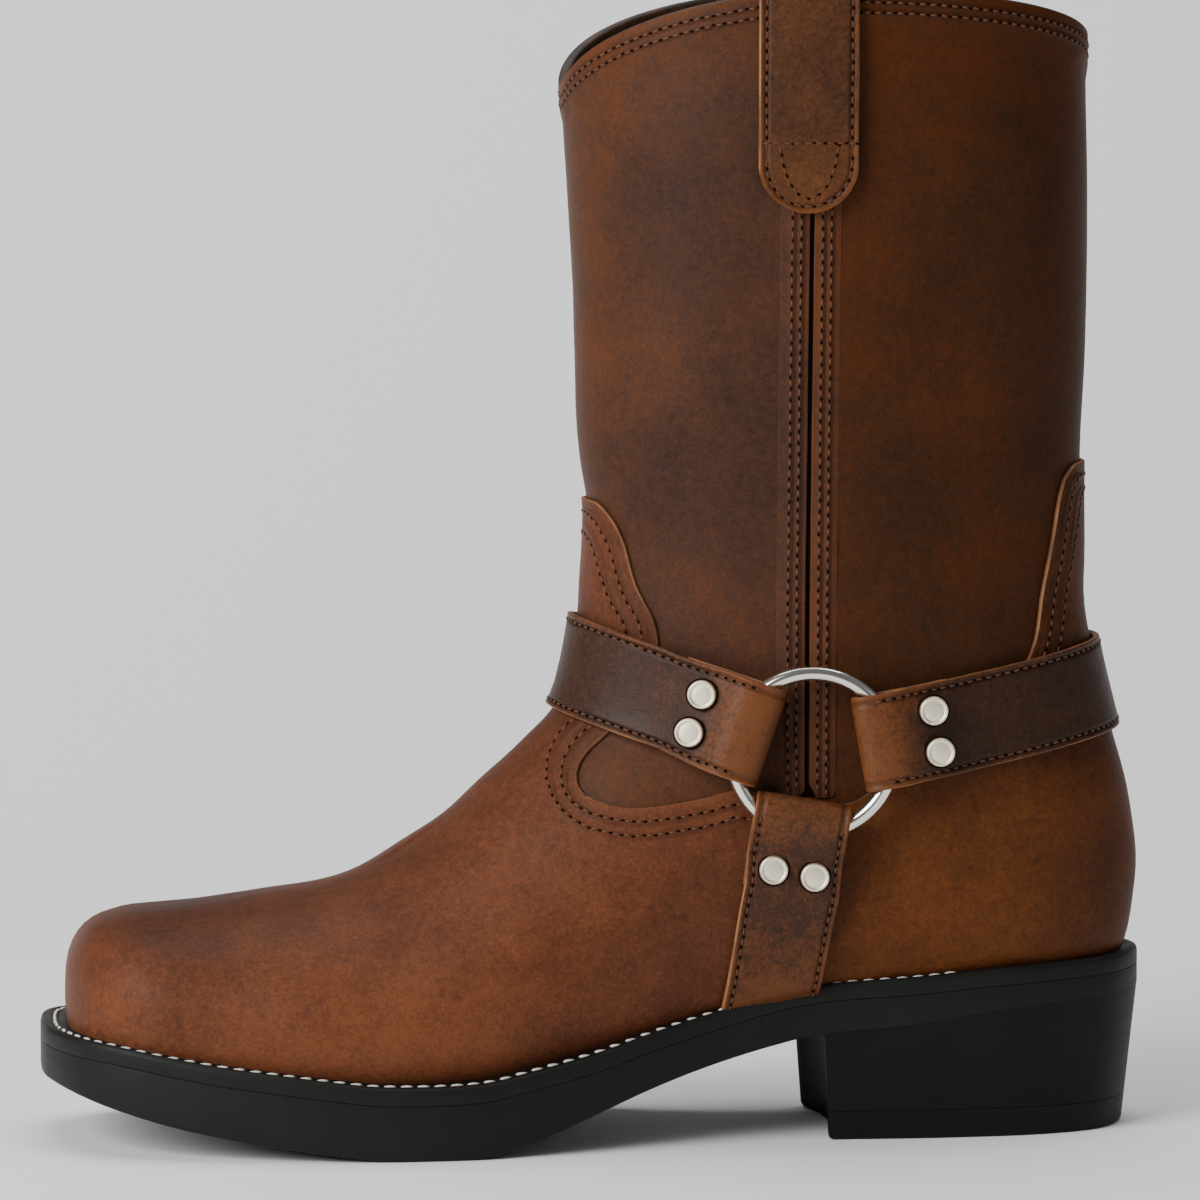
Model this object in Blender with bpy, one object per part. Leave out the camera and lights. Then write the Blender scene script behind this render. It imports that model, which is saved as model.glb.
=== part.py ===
"""Harness boot for the left foot, empty and standing on its sole.

Metres, +Z up. The toe points to -X, the outer (lateral) side faces -Y.
X = 0 is the middle of the outsole's length, Y = 0 the line of the last, Z = 0 the floor.
The upper is a fan of sections: upright across the forefoot, turning about the instep
until they lie flat in the shaft. Every overlay and strap is worked out from that form.
"""

import math
from typing import Callable, NamedTuple

import bmesh
import bpy
from mathutils import Vector
from mathutils.bvhtree import BVHTree

# Driving sizes of the sole, in metres
SOLE_LENGTH = 0.310
SOLE_WIDTH = 0.109
SOLE_THICKNESS = 0.0185
TOE_SPRING = 0.0195
HEEL_HEIGHT = 0.0305
WELT_THICKNESS = 0.0050
WELT_BORDER = 0.0150
SOLE_EDGE_ROUND = 0.0012
HEEL_TAPER = 0.0042
TOP_PIECE_THICKNESS = 0.0080
HEEL_BREAST_LEAN = 0.0025
HEEL_BREAST_HOLLOW = 0.0035

# Driving sizes of the upper
BALL_WIDTH = 0.0950
INSTEP_HEIGHT = 0.0920
SHAFT_HEIGHT = 0.2700
SHAFT_WIDTH = 0.1000
COLLAR_DIP_FRONT = 0.0260
COLLAR_DIP_BACK = 0.0130
WALL = 0.0024
TOE_REACH = 0.0360
TOE_DROP = 0.0140
TOE_POLE_HEIGHT = 0.0080
TUCK = 0.0120
INSOLE_THICKNESS = 0.0040

# Driving sizes of overlays, straps and hardware
OVERLAY = 0.0014
FLAP = 0.0010
FLAP_FRONT_WIDTH = 0.0075
FLAP_BACK_WIDTH = 0.0070
SEAM_GROOVE = 0.0018
BAND_HEIGHT = 0.0085
BAND_STEP = 0.0009
STRAP = 0.0020
STRAP_SLACK = 0.0002
STRAP_FRONT_WIDTH = 0.0280
STRAP_BACK_WIDTH = 0.0262
STRAP_UNDER_WIDTH = 0.0265
STRAP_RETURN = 0.0270
STRAP_FRONT_TILT = math.radians(18.7)
STRAP_BACK_TILT = math.radians(9.9)
STRAP_UNDER_TILT = math.radians(9.6)
UNDER_TRIM = 0.0020
RING_OUTER = 0.0482
RING_WIRE = 0.0042
RIVET_DIAMETER = 0.0080
RIVET_HEIGHT = 0.0016
RIVET_FROM_FOLD = 0.0215
RIVET_SPACING = 0.0115
PULL_WIDTH = 0.0270
PULL_LEATHER = 0.0022
PULL_DROP = 0.0600
PULL_INSIDE_DROP = 0.0300
PULL_LOOP = 0.0200
PULL_BULGE = 0.0085

# Clearance between pieces that touch, and a reach past the boot's sides for cutters
GAP = 0.0003
REACH = 0.12

# Fineness of the faceted solids
AROUND = 24
PLAN_STATIONS = 36
WRAP_STEP = math.radians(3.0)
WRAP_REACH = math.radians(112.0)
RING_STEPS = 24
RIVET_STEPS = 8
STRAP_ROWS = 4
STRAP_STEPS = 18
SLAB_STATIONS = 64

TOE_X = -SOLE_LENGTH / 2
HEEL_X = SOLE_LENGTH / 2


class SoleLine(NamedTuple):
    """One station of the sole's side view, as shares of the named sizes."""

    along: float
    toe: float
    heel: float
    thick: float


SOLE_LINES = [
    SoleLine(0.000, 0.95, 0.00, 0.87),
    SoleLine(0.020, 0.85, 0.00, 0.90),
    SoleLine(0.060, 0.66, 0.00, 0.98),
    SoleLine(0.105, 0.47, 0.00, 1.03),
    SoleLine(0.155, 0.31, 0.00, 1.06),
    SoleLine(0.210, 0.17, 0.00, 1.09),
    SoleLine(0.260, 0.06, 0.00, 1.10),
    SoleLine(0.300, 0.00, 0.00, 1.10),
    SoleLine(0.385, 0.00, 0.00, 1.12),
    SoleLine(0.430, 0.00, 0.12, 1.07),
    SoleLine(0.485, 0.00, 0.34, 0.92),
    SoleLine(0.540, 0.00, 0.56, 0.84),
    SoleLine(0.600, 0.00, 0.76, 0.79),
    SoleLine(0.660, 0.00, 0.92, 0.78),
    SoleLine(0.700, 0.00, 1.00, 0.75),
    SoleLine(0.780, 0.00, 1.07, 0.72),
    SoleLine(0.870, 0.00, 1.20, 0.63),
    SoleLine(1.000, 0.00, 1.27, 0.54),
]


class PlanPoint(NamedTuple):
    """One point of the outsole's outline: share of its length, share of half its width."""

    along: float
    across: float


PLAN = [
    PlanPoint(0.000, 0.10),
    PlanPoint(0.006, -0.28),
    PlanPoint(0.045, -0.64),
    PlanPoint(0.125, -0.86),
    PlanPoint(0.240, -0.99),
    PlanPoint(0.355, -1.01),
    PlanPoint(0.470, -0.90),
    PlanPoint(0.585, -0.74),
    PlanPoint(0.695, -0.66),
    PlanPoint(0.800, -0.66),
    PlanPoint(0.900, -0.60),
    PlanPoint(0.970, -0.40),
    PlanPoint(1.000, 0.00),
    PlanPoint(0.970, 0.40),
    PlanPoint(0.900, 0.59),
    PlanPoint(0.800, 0.63),
    PlanPoint(0.695, 0.58),
    PlanPoint(0.600, 0.57),
    PlanPoint(0.500, 0.68),
    PlanPoint(0.400, 0.87),
    PlanPoint(0.300, 0.97),
    PlanPoint(0.200, 0.94),
    PlanPoint(0.100, 0.83),
    PlanPoint(0.035, 0.64),
    PlanPoint(0.006, 0.42),
]


class Section(NamedTuple):
    """One section of the upper, from its front or top edge to its back or bottom edge.

    front_along and back_along are shares of the sole's length. instep is the front
    edge's height over the sole as a share of the instep height. Where it is 1 or more,
    rise counts instead, as a share of the way from throat to collar. back_rise is the
    back edge's height over the heel seat as a share of the shaft height, and tuck is
    how far the lower edge runs below the sole's top. ball and shaft are shares of half
    those widths, centre is the middle's shift as a share of half the ball width, widest
    is where along the section it is widest, and the powers say how square each end is.
    """

    front_along: float
    instep: float
    rise: float
    back_along: float
    back_rise: float
    tuck: float
    ball: float
    shaft: float
    centre: float
    widest: float
    front_power: float
    back_power: float
    ridge: float


SECTIONS = [
    Section(0.027, 0.27, 0.0, 0.027, 0.0, 1.0, 0.790, 0.0, 0.085, 0.58, 2.7, 2.5, 0.00),
    Section(0.081, 0.35, 0.0, 0.081, 0.0, 1.0, 0.835, 0.0, 0.027, 0.60, 2.6, 2.5, 0.04),
    Section(0.139, 0.40, 0.0, 0.139, 0.0, 1.0, 0.880, 0.0, 0.006, 0.62, 2.4, 2.5, 0.06),
    Section(0.203, 0.46, 0.0, 0.203, 0.0, 1.0, 0.943, 0.0, -0.017, 0.64, 2.2, 2.5, 0.09),
    Section(0.255, 0.512, 0.0, 0.262, 0.0, 1.0, 0.985, 0.0, -0.027, 0.65, 2.1, 2.5, 0.12),
    Section(0.310, 0.598, 0.0, 0.332, 0.0, 1.0, 0.994, 0.0, -0.038, 0.64, 2.0, 2.5, 0.14),
    Section(0.368, 0.725, 0.0, 0.422, 0.0, 1.0, 0.940, 0.0, -0.063, 0.62, 1.9, 2.5, 0.14),
    Section(0.4145, 0.845, 0.0, 0.516, 0.0, 1.0, 0.868, 0.0, -0.067, 0.60, 1.9, 2.5, 0.12),
    Section(0.445, 0.932, 0.0, 0.622, 0.0, 1.0, 0.832, 0.0, -0.063, 0.57, 1.9, 2.4, 0.08),
    Section(0.4645, 1.0, 0.000, 0.742, 0.0, 1.0, 0.820, 0.0, -0.046, 0.54, 2.0, 2.4, 0.04),
    Section(0.4775, 1.0, 0.042, 0.871, 0.0, 1.0, 0.0, 0.780, -0.030, 0.51, 2.0, 2.4, 0.0),
    Section(0.4855, 1.0, 0.087, 0.966, 0.0, 0.5, 0.0, 0.784, -0.020, 0.50, 2.1, 2.35, 0.0),
    Section(0.4903, 1.0, 0.132, 0.9913, 0.076, 0.0, 0.0, 0.796, -0.013, 0.50, 2.1, 2.3, 0.0),
    Section(0.4923, 1.0, 0.182, 0.9858, 0.157, 0.0, 0.0, 0.804, -0.008, 0.50, 2.15, 2.25, 0.0),
    Section(0.4945, 1.0, 0.232, 0.9677, 0.239, 0.0, 0.0, 0.812, 0.0, 0.51, 2.15, 2.2, 0.0),
    Section(0.4950, 1.0, 0.288, 0.9490, 0.332, 0.0, 0.0, 0.826, 0.0, 0.52, 2.15, 2.2, 0.0),
    Section(0.4890, 1.0, 0.348, 0.9439, 0.428, 0.0, 0.0, 0.846, 0.0, 0.52, 2.15, 2.15, 0.0),
    Section(0.4852, 1.0, 0.413, 0.9432, 0.528, 0.0, 0.0, 0.870, 0.0, 0.52, 2.15, 2.15, 0.0),
    Section(0.4839, 1.0, 0.498, 0.9465, 0.620, 0.0, 0.0, 0.900, 0.0, 0.52, 2.15, 2.15, 0.0),
    Section(0.4806, 1.0, 0.612, 0.9477, 0.713, 0.0, 0.0, 0.936, 0.0, 0.52, 2.15, 2.15, 0.0),
    Section(0.4768, 1.0, 0.722, 0.9474, 0.794, 0.0, 0.0, 0.966, 0.0, 0.52, 2.15, 2.15, 0.0),
    Section(0.4729, 1.0, 0.838, 0.9460, 0.880, 0.0, 0.0, 0.990, 0.0, 0.52, 2.15, 2.15, 0.0),
    Section(0.4690, 1.0, 0.962, 0.9452, 0.972, 0.0, 0.0, 1.000, 0.0, 0.52, 2.15, 2.15, 0.0),
    Section(0.4665, 1.0, 1.088, 0.9450, 1.065, 0.0, 0.0, 1.000, 0.0, 0.52, 2.15, 2.15, 0.0),
]

TOE_STEPS = [0.6, 1.5, 2.7, 3.9, 4.9, 6.0]
TOE_POWER = 3.0


def at_length(share: float) -> float:
    """X of a share of the sole's length, from toe to heel."""
    return TOE_X + share * SOLE_LENGTH


def smooth_value(x: float, xs: list[float], ys: list[float]) -> float:
    """Value of a smooth curve through the points, flat beyond its ends."""
    if x <= xs[0]:
        return ys[0]
    if x >= xs[-1]:
        return ys[-1]
    index = max(i for i in range(len(xs) - 1) if xs[i] <= x)

    def slope(i: int) -> float:
        low = max(i - 1, 0)
        high = min(i + 1, len(xs) - 1)
        return (ys[high] - ys[low]) / (xs[high] - xs[low])

    span = xs[index + 1] - xs[index]
    t = (x - xs[index]) / span
    start = ys[index] * (2 * t**3 - 3 * t**2 + 1) + slope(index) * span * (t**3 - 2 * t**2 + t)
    end = ys[index + 1] * (3 * t**2 - 2 * t**3) + slope(index + 1) * span * (t**3 - t**2)
    return start + end


def sole_bottom(x: float) -> float:
    """Height of the outsole's underside."""
    xs = [at_length(line.along) for line in SOLE_LINES]
    ys = [line.toe * TOE_SPRING + line.heel * HEEL_HEIGHT for line in SOLE_LINES]
    return max(smooth_value(x, xs, ys), 0.0)


def sole_top(x: float) -> float:
    """Height of the welt's top, on which the upper stands."""
    xs = [at_length(line.along) for line in SOLE_LINES]
    ys = [
        line.toe * TOE_SPRING + line.heel * HEEL_HEIGHT + line.thick * SOLE_THICKNESS
        for line in SOLE_LINES
    ]
    return smooth_value(x, xs, ys)


SEAT_X = at_length(0.86)
SEAT_Z = sole_top(SEAT_X)
COLLAR_Z = SEAT_Z + SHAFT_HEIGHT


def sole_edge() -> list[Vector]:
    """Closed outline of the outsole in plan, finely divided."""
    corners = [Vector((at_length(p.along), p.across * SOLE_WIDTH / 2)) for p in PLAN]
    count = len(corners)
    steps = 14
    fine = []
    for i in range(count):
        a, b, c, d = (corners[(i + k) % count] for k in (-1, 0, 1, 2))
        for k in range(steps):
            t = k / steps
            fine.append(
                0.5 * (2 * b + (c - a) * t + (2 * a - 5 * b + 4 * c - d) * t**2
                       + (3 * b - a - 3 * c + d) * t**3)
            )
    return fine


EDGE = sole_edge()


def sole_outline(inset: float, start: float | None = None) -> list[Vector]:
    """Outline moved inwards by inset: lateral side from toe to heel, medial side back.

    Both sides have points at the same places along, closer together at the ends, so
    that a face across the sole is flat. start, if given, cuts off what lies before it.
    """
    count = len(EDGE)
    moved = []
    for i, p in enumerate(EDGE):
        along = (EDGE[(i + 2) % count] - EDGE[i - 2]).normalized()
        moved.append(p + Vector((-along.y, along.x)) * inset)
    toe = min(range(count), key=lambda i: moved[i].x)
    heel = max(range(count), key=lambda i: moved[i].x)
    lateral = [moved[(toe + k) % count] for k in range((heel - toe) % count + 1)]
    medial = [moved[(heel + k) % count] for k in range((toe - heel) % count + 1)][::-1]
    first = moved[toe].x if start is None else start
    last = moved[heel].x
    margin = 0.0004

    def across(side: list[Vector], x: float) -> float:
        for p, q in zip(side, side[1:]):
            if p.x <= x <= q.x:
                return p.y + (q.y - p.y) * (x - p.x) / max(q.x - p.x, 1e-9)
        return side[-1].y

    places = []
    for k in range(PLAN_STATIONS + 1):
        turn = math.pi * k / PLAN_STATIONS
        even = k / PLAN_STATIONS
        if start is None:
            share = 0.62 * (1 - math.cos(turn)) / 2 + 0.38 * even
        else:
            share = 0.7 * math.sin(turn / 2) + 0.3 * even
        low = first + (margin if start is None else 0.0)
        places.append(low + (last - margin - low) * share)
    return [Vector((x, across(lateral, x))) for x in places] + [
        Vector((x, across(medial, x))) for x in reversed(places)
    ]


def front_point(section: Section) -> Vector:
    """Front or top edge of a section, as (x, z)."""
    x = at_length(section.front_along)
    if section.instep < 1.0:
        return Vector((x, sole_top(x) + section.instep * INSTEP_HEIGHT))
    throat = sole_top(at_length(SECTIONS[9].front_along)) + INSTEP_HEIGHT
    return Vector((x, throat + section.rise * (COLLAR_Z - throat)))


def back_point(section: Section) -> Vector:
    """Back or bottom edge of a section, as (x, z)."""
    x = at_length(section.back_along)
    if section.tuck > 0.0:
        return Vector((x, sole_top(x) - section.tuck * TUCK))
    return Vector((x, SEAT_Z + section.back_rise * SHAFT_HEIGHT))


def section_loop(front: Vector, back: Vector, half: float, section: Section,
                 around: int) -> list[Vector]:
    """Closed loop of one section, from its front edge down the lateral side and back up."""
    centre = section.centre * BALL_WIDTH / 2
    ridge = section.ridge * BALL_WIDTH / 2
    loop = []
    for j in range(around):
        angle = 2 * math.pi * j / around
        down, out = math.cos(angle), math.sin(angle)
        power = section.front_power if down > 0 else section.back_power
        reach = math.copysign(abs(down) ** (2 / power), down)
        span = section.widest if down > 0 else 1 - section.widest
        t = section.widest - reach * span
        side = -math.copysign(abs(out) ** (2 / power), out)
        spot = front.lerp(back, t)
        shift = ridge * max(reach, 0.0) ** 2
        loop.append(Vector((spot.x, centre + shift + side * half, spot.y)))
    return loop


def blend_sections(a: Section, b: Section, t: float) -> Section:
    """Section between two others."""
    return Section(*(p + (q - p) * t for p, q in zip(a, b)))


def toe_loops(around: int) -> list[list[Vector]]:
    """Loops that close the toe: a rounded box whose height and width each follow a power curve."""
    first, second = SECTIONS[0], SECTIONS[1]
    start = at_length(first.front_along)
    pole = sole_top(start) + TOE_POLE_HEIGHT
    loops = []
    for step in TOE_STEPS:
        along = TOE_REACH * (1 - math.cos(step / TOE_STEPS[-1] * math.pi / 2))
        share = (start + along - at_length(first.front_along)) / (
            at_length(second.front_along) - at_length(first.front_along)
        )
        if share > 1.0:
            section = blend_sections(SECTIONS[1], SECTIONS[2], (share - 1.0) * 0.93)
        else:
            section = blend_sections(first, second, share)
        high = (1 - max(1 - along / TOE_DROP, 0.0) ** TOE_POWER) ** (1 / TOE_POWER)
        wide = (1 - max(1 - along / TOE_REACH, 0.0) ** TOE_POWER) ** (1 / TOE_POWER)
        x = start + along
        top = sole_top(x) + section.instep * INSTEP_HEIGHT
        low = sole_top(x) - TUCK
        front = Vector((x, pole + (top - pole) * high))
        back = Vector((x, pole + (low - pole) * high))
        half = section.ball * BALL_WIDTH / 2 * wide
        loops.append(section_loop(front, back, half, section, around))
    return loops


def form_grid(around: int) -> list[list[Vector]]:
    """Loops of the upper's outer surface, from the toe to above the collar."""
    loops = toe_loops(around)
    for section in SECTIONS[3:]:
        half = section.ball * BALL_WIDTH / 2 + section.shaft * SHAFT_WIDTH / 2
        loops.append(section_loop(front_point(section), back_point(section), half, section, around))
    return loops


def refine(loops: list[list[Vector]], steps: int) -> list[list[Vector]]:
    """Loops with smooth ones put in between."""
    last = len(loops) - 1
    fine = []
    for i in range(last):
        rows = [loops[max(i - 1, 0)], loops[i], loops[i + 1], loops[min(i + 2, last)]]
        for k in range(steps):
            t = k / steps
            fine.append([
                0.5 * (2 * b + (c - a) * t + (2 * a - 5 * b + 4 * c - d) * t**2
                       + (3 * b - a - 3 * c + d) * t**3)
                for a, b, c, d in zip(*rows)
            ])
    fine.append(loops[last])
    return fine


FORM = form_grid(AROUND)
TOE_POLE = Vector((
    at_length(SECTIONS[0].front_along),
    SECTIONS[0].centre * BALL_WIDTH / 2,
    sole_top(at_length(SECTIONS[0].front_along)) + TOE_POLE_HEIGHT,
))


def form_normals() -> list[list[Vector]]:
    """Outward direction at each point of the form, from its neighbours."""
    normals = []
    for i, loop in enumerate(FORM):
        row = []
        for j in range(AROUND):
            before = FORM[i - 1][j] if i > 0 else TOE_POLE
            after = FORM[i + 1][j] if i + 1 < len(FORM) else FORM[i][j] * 2 - FORM[i - 1][j]
            along = after - before
            around = loop[(j + 1) % AROUND] - loop[j - 1]
            row.append(around.cross(along).normalized())
        normals.append(row)
    return normals


NORMALS = form_normals()


def new_object(name: str, mesh: bpy.types.Mesh, material: bpy.types.Material) -> bpy.types.Object:
    """Put a mesh into the scene under the piece's name."""
    piece = bpy.data.objects.new(name, mesh)
    bpy.context.collection.objects.link(piece)
    mesh.materials.append(material)
    mesh.shade_smooth()
    mesh.set_sharp_from_angle(angle=math.radians(35))
    return piece


def mesh_from(name: str, points: list[Vector], faces: list[tuple[int, ...]]) -> bpy.types.Mesh:
    """Mesh with its faces turned outwards."""
    mesh = bpy.data.meshes.new(name)
    mesh.from_pydata([tuple(p) for p in points], [], faces)
    work = bmesh.new()
    work.from_mesh(mesh)
    bmesh.ops.recalc_face_normals(work, faces=work.faces)
    work.to_mesh(mesh)
    work.free()
    return mesh


def tube_mesh(name: str, offset: float) -> bpy.types.Mesh:
    """Closed form of the upper, moved outwards by offset, in triangles with one diagonal."""
    points = [TOE_POLE + Vector((-offset, 0, 0))]
    for loop, normals in zip(FORM, NORMALS):
        points += [p + n * offset for p, n in zip(loop, normals)]
    faces = [(0, 1 + j, 1 + (j + 1) % AROUND) for j in range(AROUND)]
    for i in range(len(FORM) - 1):
        for j in range(AROUND):
            a = 1 + i * AROUND + j
            b = 1 + i * AROUND + (j + 1) % AROUND
            faces += [(a, a + AROUND, b + AROUND), (a, b + AROUND, b)]
    faces.append(tuple(1 + (len(FORM) - 1) * AROUND + j for j in range(AROUND)))
    return mesh_from(name, points, faces)


def guide(name: str, mesh: bpy.types.Mesh) -> bpy.types.Object:
    """Cutter that shapes other pieces and isn't a piece itself."""
    cutter = bpy.data.objects.new(name, mesh)
    bpy.context.collection.objects.link(cutter)
    cutter.hide_render = True
    cutter.display_type = "WIRE"
    return cutter


def cut(piece: bpy.types.Object, cutter: bpy.types.Object, operation: str) -> None:
    """Add a Boolean to a piece."""
    modifier = piece.modifiers.new(cutter.name, "BOOLEAN")
    modifier.operation = operation
    modifier.object = cutter
    modifier.solver = "EXACT"


def prism(name: str, outline: list[tuple[float, float]], near: float, far: float) -> bpy.types.Object:
    """Side-view outline drawn out from y = near to y = far."""
    count = len(outline)
    points = [Vector((x, near, z)) for x, z in outline] + [Vector((x, far, z)) for x, z in outline]
    faces = [tuple(range(count)), tuple(range(2 * count - 1, count - 1, -1))]
    faces += [(i, (i + 1) % count, count + (i + 1) % count, count + i) for i in range(count)]
    return guide(name, mesh_from(name, points, faces))


STATIONS = [TOE_X - 0.02 + (SOLE_LENGTH + 0.04) * i / SLAB_STATIONS
            for i in range(SLAB_STATIONS + 1)]


def slab(name: str, low: Callable[[float], float], high: Callable[[float], float]) -> bpy.types.Object:
    """Slab between two side-view curves, as wide as the boot and more."""
    outline = [(x, low(x)) for x in STATIONS] + [(x, high(x)) for x in reversed(STATIONS)]
    return prism(name, outline, -REACH, REACH)


def collar_height(angle: float) -> float:
    """Height of the collar's rim in a direction from the shaft's axis, 0 to the front."""
    long_half = (at_length(SECTIONS[-2].back_along) - at_length(SECTIONS[-2].front_along)) / 2
    turn = math.atan2(long_half * math.sin(angle), SHAFT_WIDTH / 2 * math.cos(angle))
    share = abs(math.sin(turn))
    if math.cos(turn) > 0:
        return COLLAR_Z - COLLAR_DIP_FRONT * (1 - share**1.15)
    return COLLAR_Z - COLLAR_DIP_BACK * (1 - share**1.05)


SHAFT_AXIS_X = (at_length(SECTIONS[-2].back_along) + at_length(SECTIONS[-2].front_along)) / 2


def collar_lid(name: str, drop: float) -> bpy.types.Object:
    """Solid above the rim, lowered by drop, level along each line out from the shaft's axis."""
    turns = [2 * math.pi * k / 48 for k in range(48)]
    inner, outer, top = [], [], []
    for angle in turns:
        height = collar_height(angle) - drop
        way = Vector((-math.cos(angle), -math.sin(angle), 0))
        inner.append(Vector((SHAFT_AXIS_X, 0, height)) + way * SHAFT_WIDTH * 0.2)
        outer.append(Vector((SHAFT_AXIS_X, 0, height)) + way * REACH)
        top.append(Vector((SHAFT_AXIS_X, 0, COLLAR_Z + SHAFT_WIDTH)) + way * REACH)
    count = len(turns)
    middle = Vector((SHAFT_AXIS_X, 0, sum(p.z for p in inner) / count))
    points = [middle] + inner + outer + top
    faces = [(0, 1 + k, 1 + (k + 1) % count) for k in range(count)]
    for ring in range(2):
        base = 1 + ring * count
        for k in range(count):
            a, b = base + k, base + (k + 1) % count
            faces.append((a, b, b + count, a + count))
    faces.append(tuple(1 + 2 * count + k for k in range(count)))
    return guide(name, mesh_from(name, points, faces))


def material(name: str, colour: tuple[float, float, float], roughness: float,
             metallic: float = 0.0) -> bpy.types.Material:
    """Plain finish of a piece."""
    finish = bpy.data.materials.new(name)
    finish.use_nodes = True
    shader = finish.node_tree.nodes["Principled BSDF"]
    shader.inputs["Base Color"].default_value = (*colour, 1.0)
    shader.inputs["Roughness"].default_value = roughness
    shader.inputs["Metallic"].default_value = metallic
    finish.diffuse_color = (*colour, 1.0)
    return finish


def loops_mesh(name: str, loops: list[list[Vector]], closed: bool,
               paired: bool = False) -> bpy.types.Mesh:
    """Mesh from loops of equal count: capped at both ends, or joined last to first.

    A paired loop runs out along one side and back along the other, and its caps are
    strips from side to side.
    """
    count = len(loops[0])
    points = [p for loop in loops for p in loop]
    faces = []
    pairs = len(loops) if closed else len(loops) - 1
    for i in range(pairs):
        after = (i + 1) % len(loops)
        for k in range(count):
            n = (k + 1) % count
            faces.append((i * count + k, i * count + n, after * count + n, after * count + k))
    if not closed:
        for base in (0, (len(loops) - 1) * count):
            if paired:
                faces += [(base + k, base + k + 1, base + count - 2 - k, base + count - 1 - k)
                          for k in range(count // 2 - 1)]
            else:
                faces.append(tuple(base + k for k in range(count)))
    return mesh_from(name, points, faces)


def plan_loop(inset: float, height: Callable[[float], float]) -> list[Vector]:
    """Sole outline moved inwards, each point at its own height."""
    return [Vector((p.x, p.y, height(p.x))) for p in sole_outline(inset)]


def build_outsole(finish: bpy.types.Material) -> bpy.types.Object:
    """Outsole with rounded lower edge, flat tread spot and a raised middle inside the welt."""
    ledge = WELT_THICKNESS + GAP
    loops = [
        plan_loop(SOLE_EDGE_ROUND, sole_bottom),
        plan_loop(0.0, lambda x: sole_bottom(x) + SOLE_EDGE_ROUND),
        plan_loop(0.0, lambda x: sole_top(x) - ledge),
        plan_loop(WELT_BORDER + 2 * GAP, lambda x: sole_top(x) - ledge),
        plan_loop(WELT_BORDER + 2 * GAP, sole_top),
    ]
    return new_object("outsole", loops_mesh("outsole", loops, False, True), finish)


def build_welt(finish: bpy.types.Material) -> bpy.types.Object:
    """Welt strip round the sole, with its stitched ledge outside the upper."""
    round_off = SOLE_EDGE_ROUND / 2
    loops = [
        plan_loop(0.0006, lambda x: sole_top(x) - WELT_THICKNESS),
        plan_loop(0.0, lambda x: sole_top(x) - WELT_THICKNESS / 2),
        plan_loop(round_off, sole_top),
        plan_loop(WELT_BORDER, sole_top),
        plan_loop(WELT_BORDER, lambda x: sole_top(x) - WELT_THICKNESS),
    ]
    return new_object("welt", loops_mesh("welt", loops, True), finish)


BREAST_X = at_length(0.695)


def heel_loop(height: float | None) -> list[Vector]:
    """Outline of the heel at a height, or just under the outsole where that is None.

    The sides lean in towards the floor, and the breast is hollowed in its middle.
    """
    full = sole_bottom(HEEL_X)
    depth_share = 0.0 if height is None else 1 - height / full
    start = BREAST_X + HEEL_BREAST_LEAN * depth_share
    loop = []
    for p in sole_outline(HEEL_TAPER * depth_share + GAP, start):
        z = sole_bottom(p.x) - GAP if height is None else height
        loop.append(Vector((p.x, p.y, z)))
    return loop


def breast_cutter(low: float, high: float) -> bpy.types.Object:
    """Upright round bar that hollows the heel's breast."""
    half = SOLE_WIDTH * 0.30
    radius = (half**2 + HEEL_BREAST_HOLLOW**2) / (2 * HEEL_BREAST_HOLLOW)
    steps = 16
    arc = []
    for k in range(steps + 1):
        angle = math.asin(half * 1.4 / radius) * (2 * k / steps - 1)
        arc.append((BREAST_X + HEEL_BREAST_LEAN / 2 + HEEL_BREAST_HOLLOW
                    + radius * (math.cos(angle) - 1), radius * math.sin(angle)))
    arc += [(BREAST_X - REACH / 2, half * 1.4), (BREAST_X - REACH / 2, -half * 1.4)]
    loops = [[Vector((x, y, z)) for x, y in arc] for z in (low, high)]
    return guide("breast_hollow", loops_mesh("breast_hollow", loops, False))


def build_heel(finish: bpy.types.Material) -> None:
    """Heel block under the seat, and the top piece that it walks on."""
    hollow = breast_cutter(-REACH / 2, REACH / 2)
    block = [heel_loop(TOP_PIECE_THICKNESS + GAP), heel_loop(None)]
    piece = new_object("heel_block", loops_mesh("heel_block", block, False, True), finish)
    cut(piece, hollow, "DIFFERENCE")
    tread = [heel_loop(0.0), heel_loop(TOP_PIECE_THICKNESS)]
    piece = new_object("heel_top_piece", loops_mesh("heel_top_piece", tread, False, True), finish)
    cut(piece, hollow, "DIFFERENCE")


def build_upper(finish: bpy.types.Material) -> None:
    """Hollow upper: outer form less inner form, open at the collar and over the sole."""
    upper = new_object("upper", tube_mesh("upper", 0.0), finish)
    band_outer = new_object("collar_band_form", tube_mesh("collar_band_form", BAND_STEP), finish)
    band_outer.hide_render = True
    band_outer.display_type = "WIRE"
    above = collar_lid("above_band_edge", BAND_HEIGHT)
    cut(band_outer, above, "INTERSECT")
    cut(upper, band_outer, "UNION")
    cut(upper, guide("inner_form", tube_mesh("inner_form", -WALL)), "DIFFERENCE")
    cut(upper, slab("under_upper", lambda x: sole_top(x) - REACH, lambda x: sole_top(x) + GAP),
        "DIFFERENCE")
    cut(upper, collar_lid("above_collar", 0.0), "DIFFERENCE")


def build_insole(finish: bpy.types.Material) -> None:
    """Insole board inside the upper, lying on the welt and the outsole."""
    insole = new_object("insole", tube_mesh("insole", -WALL - GAP), finish)
    cut(insole, slab("insole_slab", lambda x: sole_top(x) + GAP,
                     lambda x: sole_top(x) + GAP + INSOLE_THICKNESS), "INTERSECT")


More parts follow.
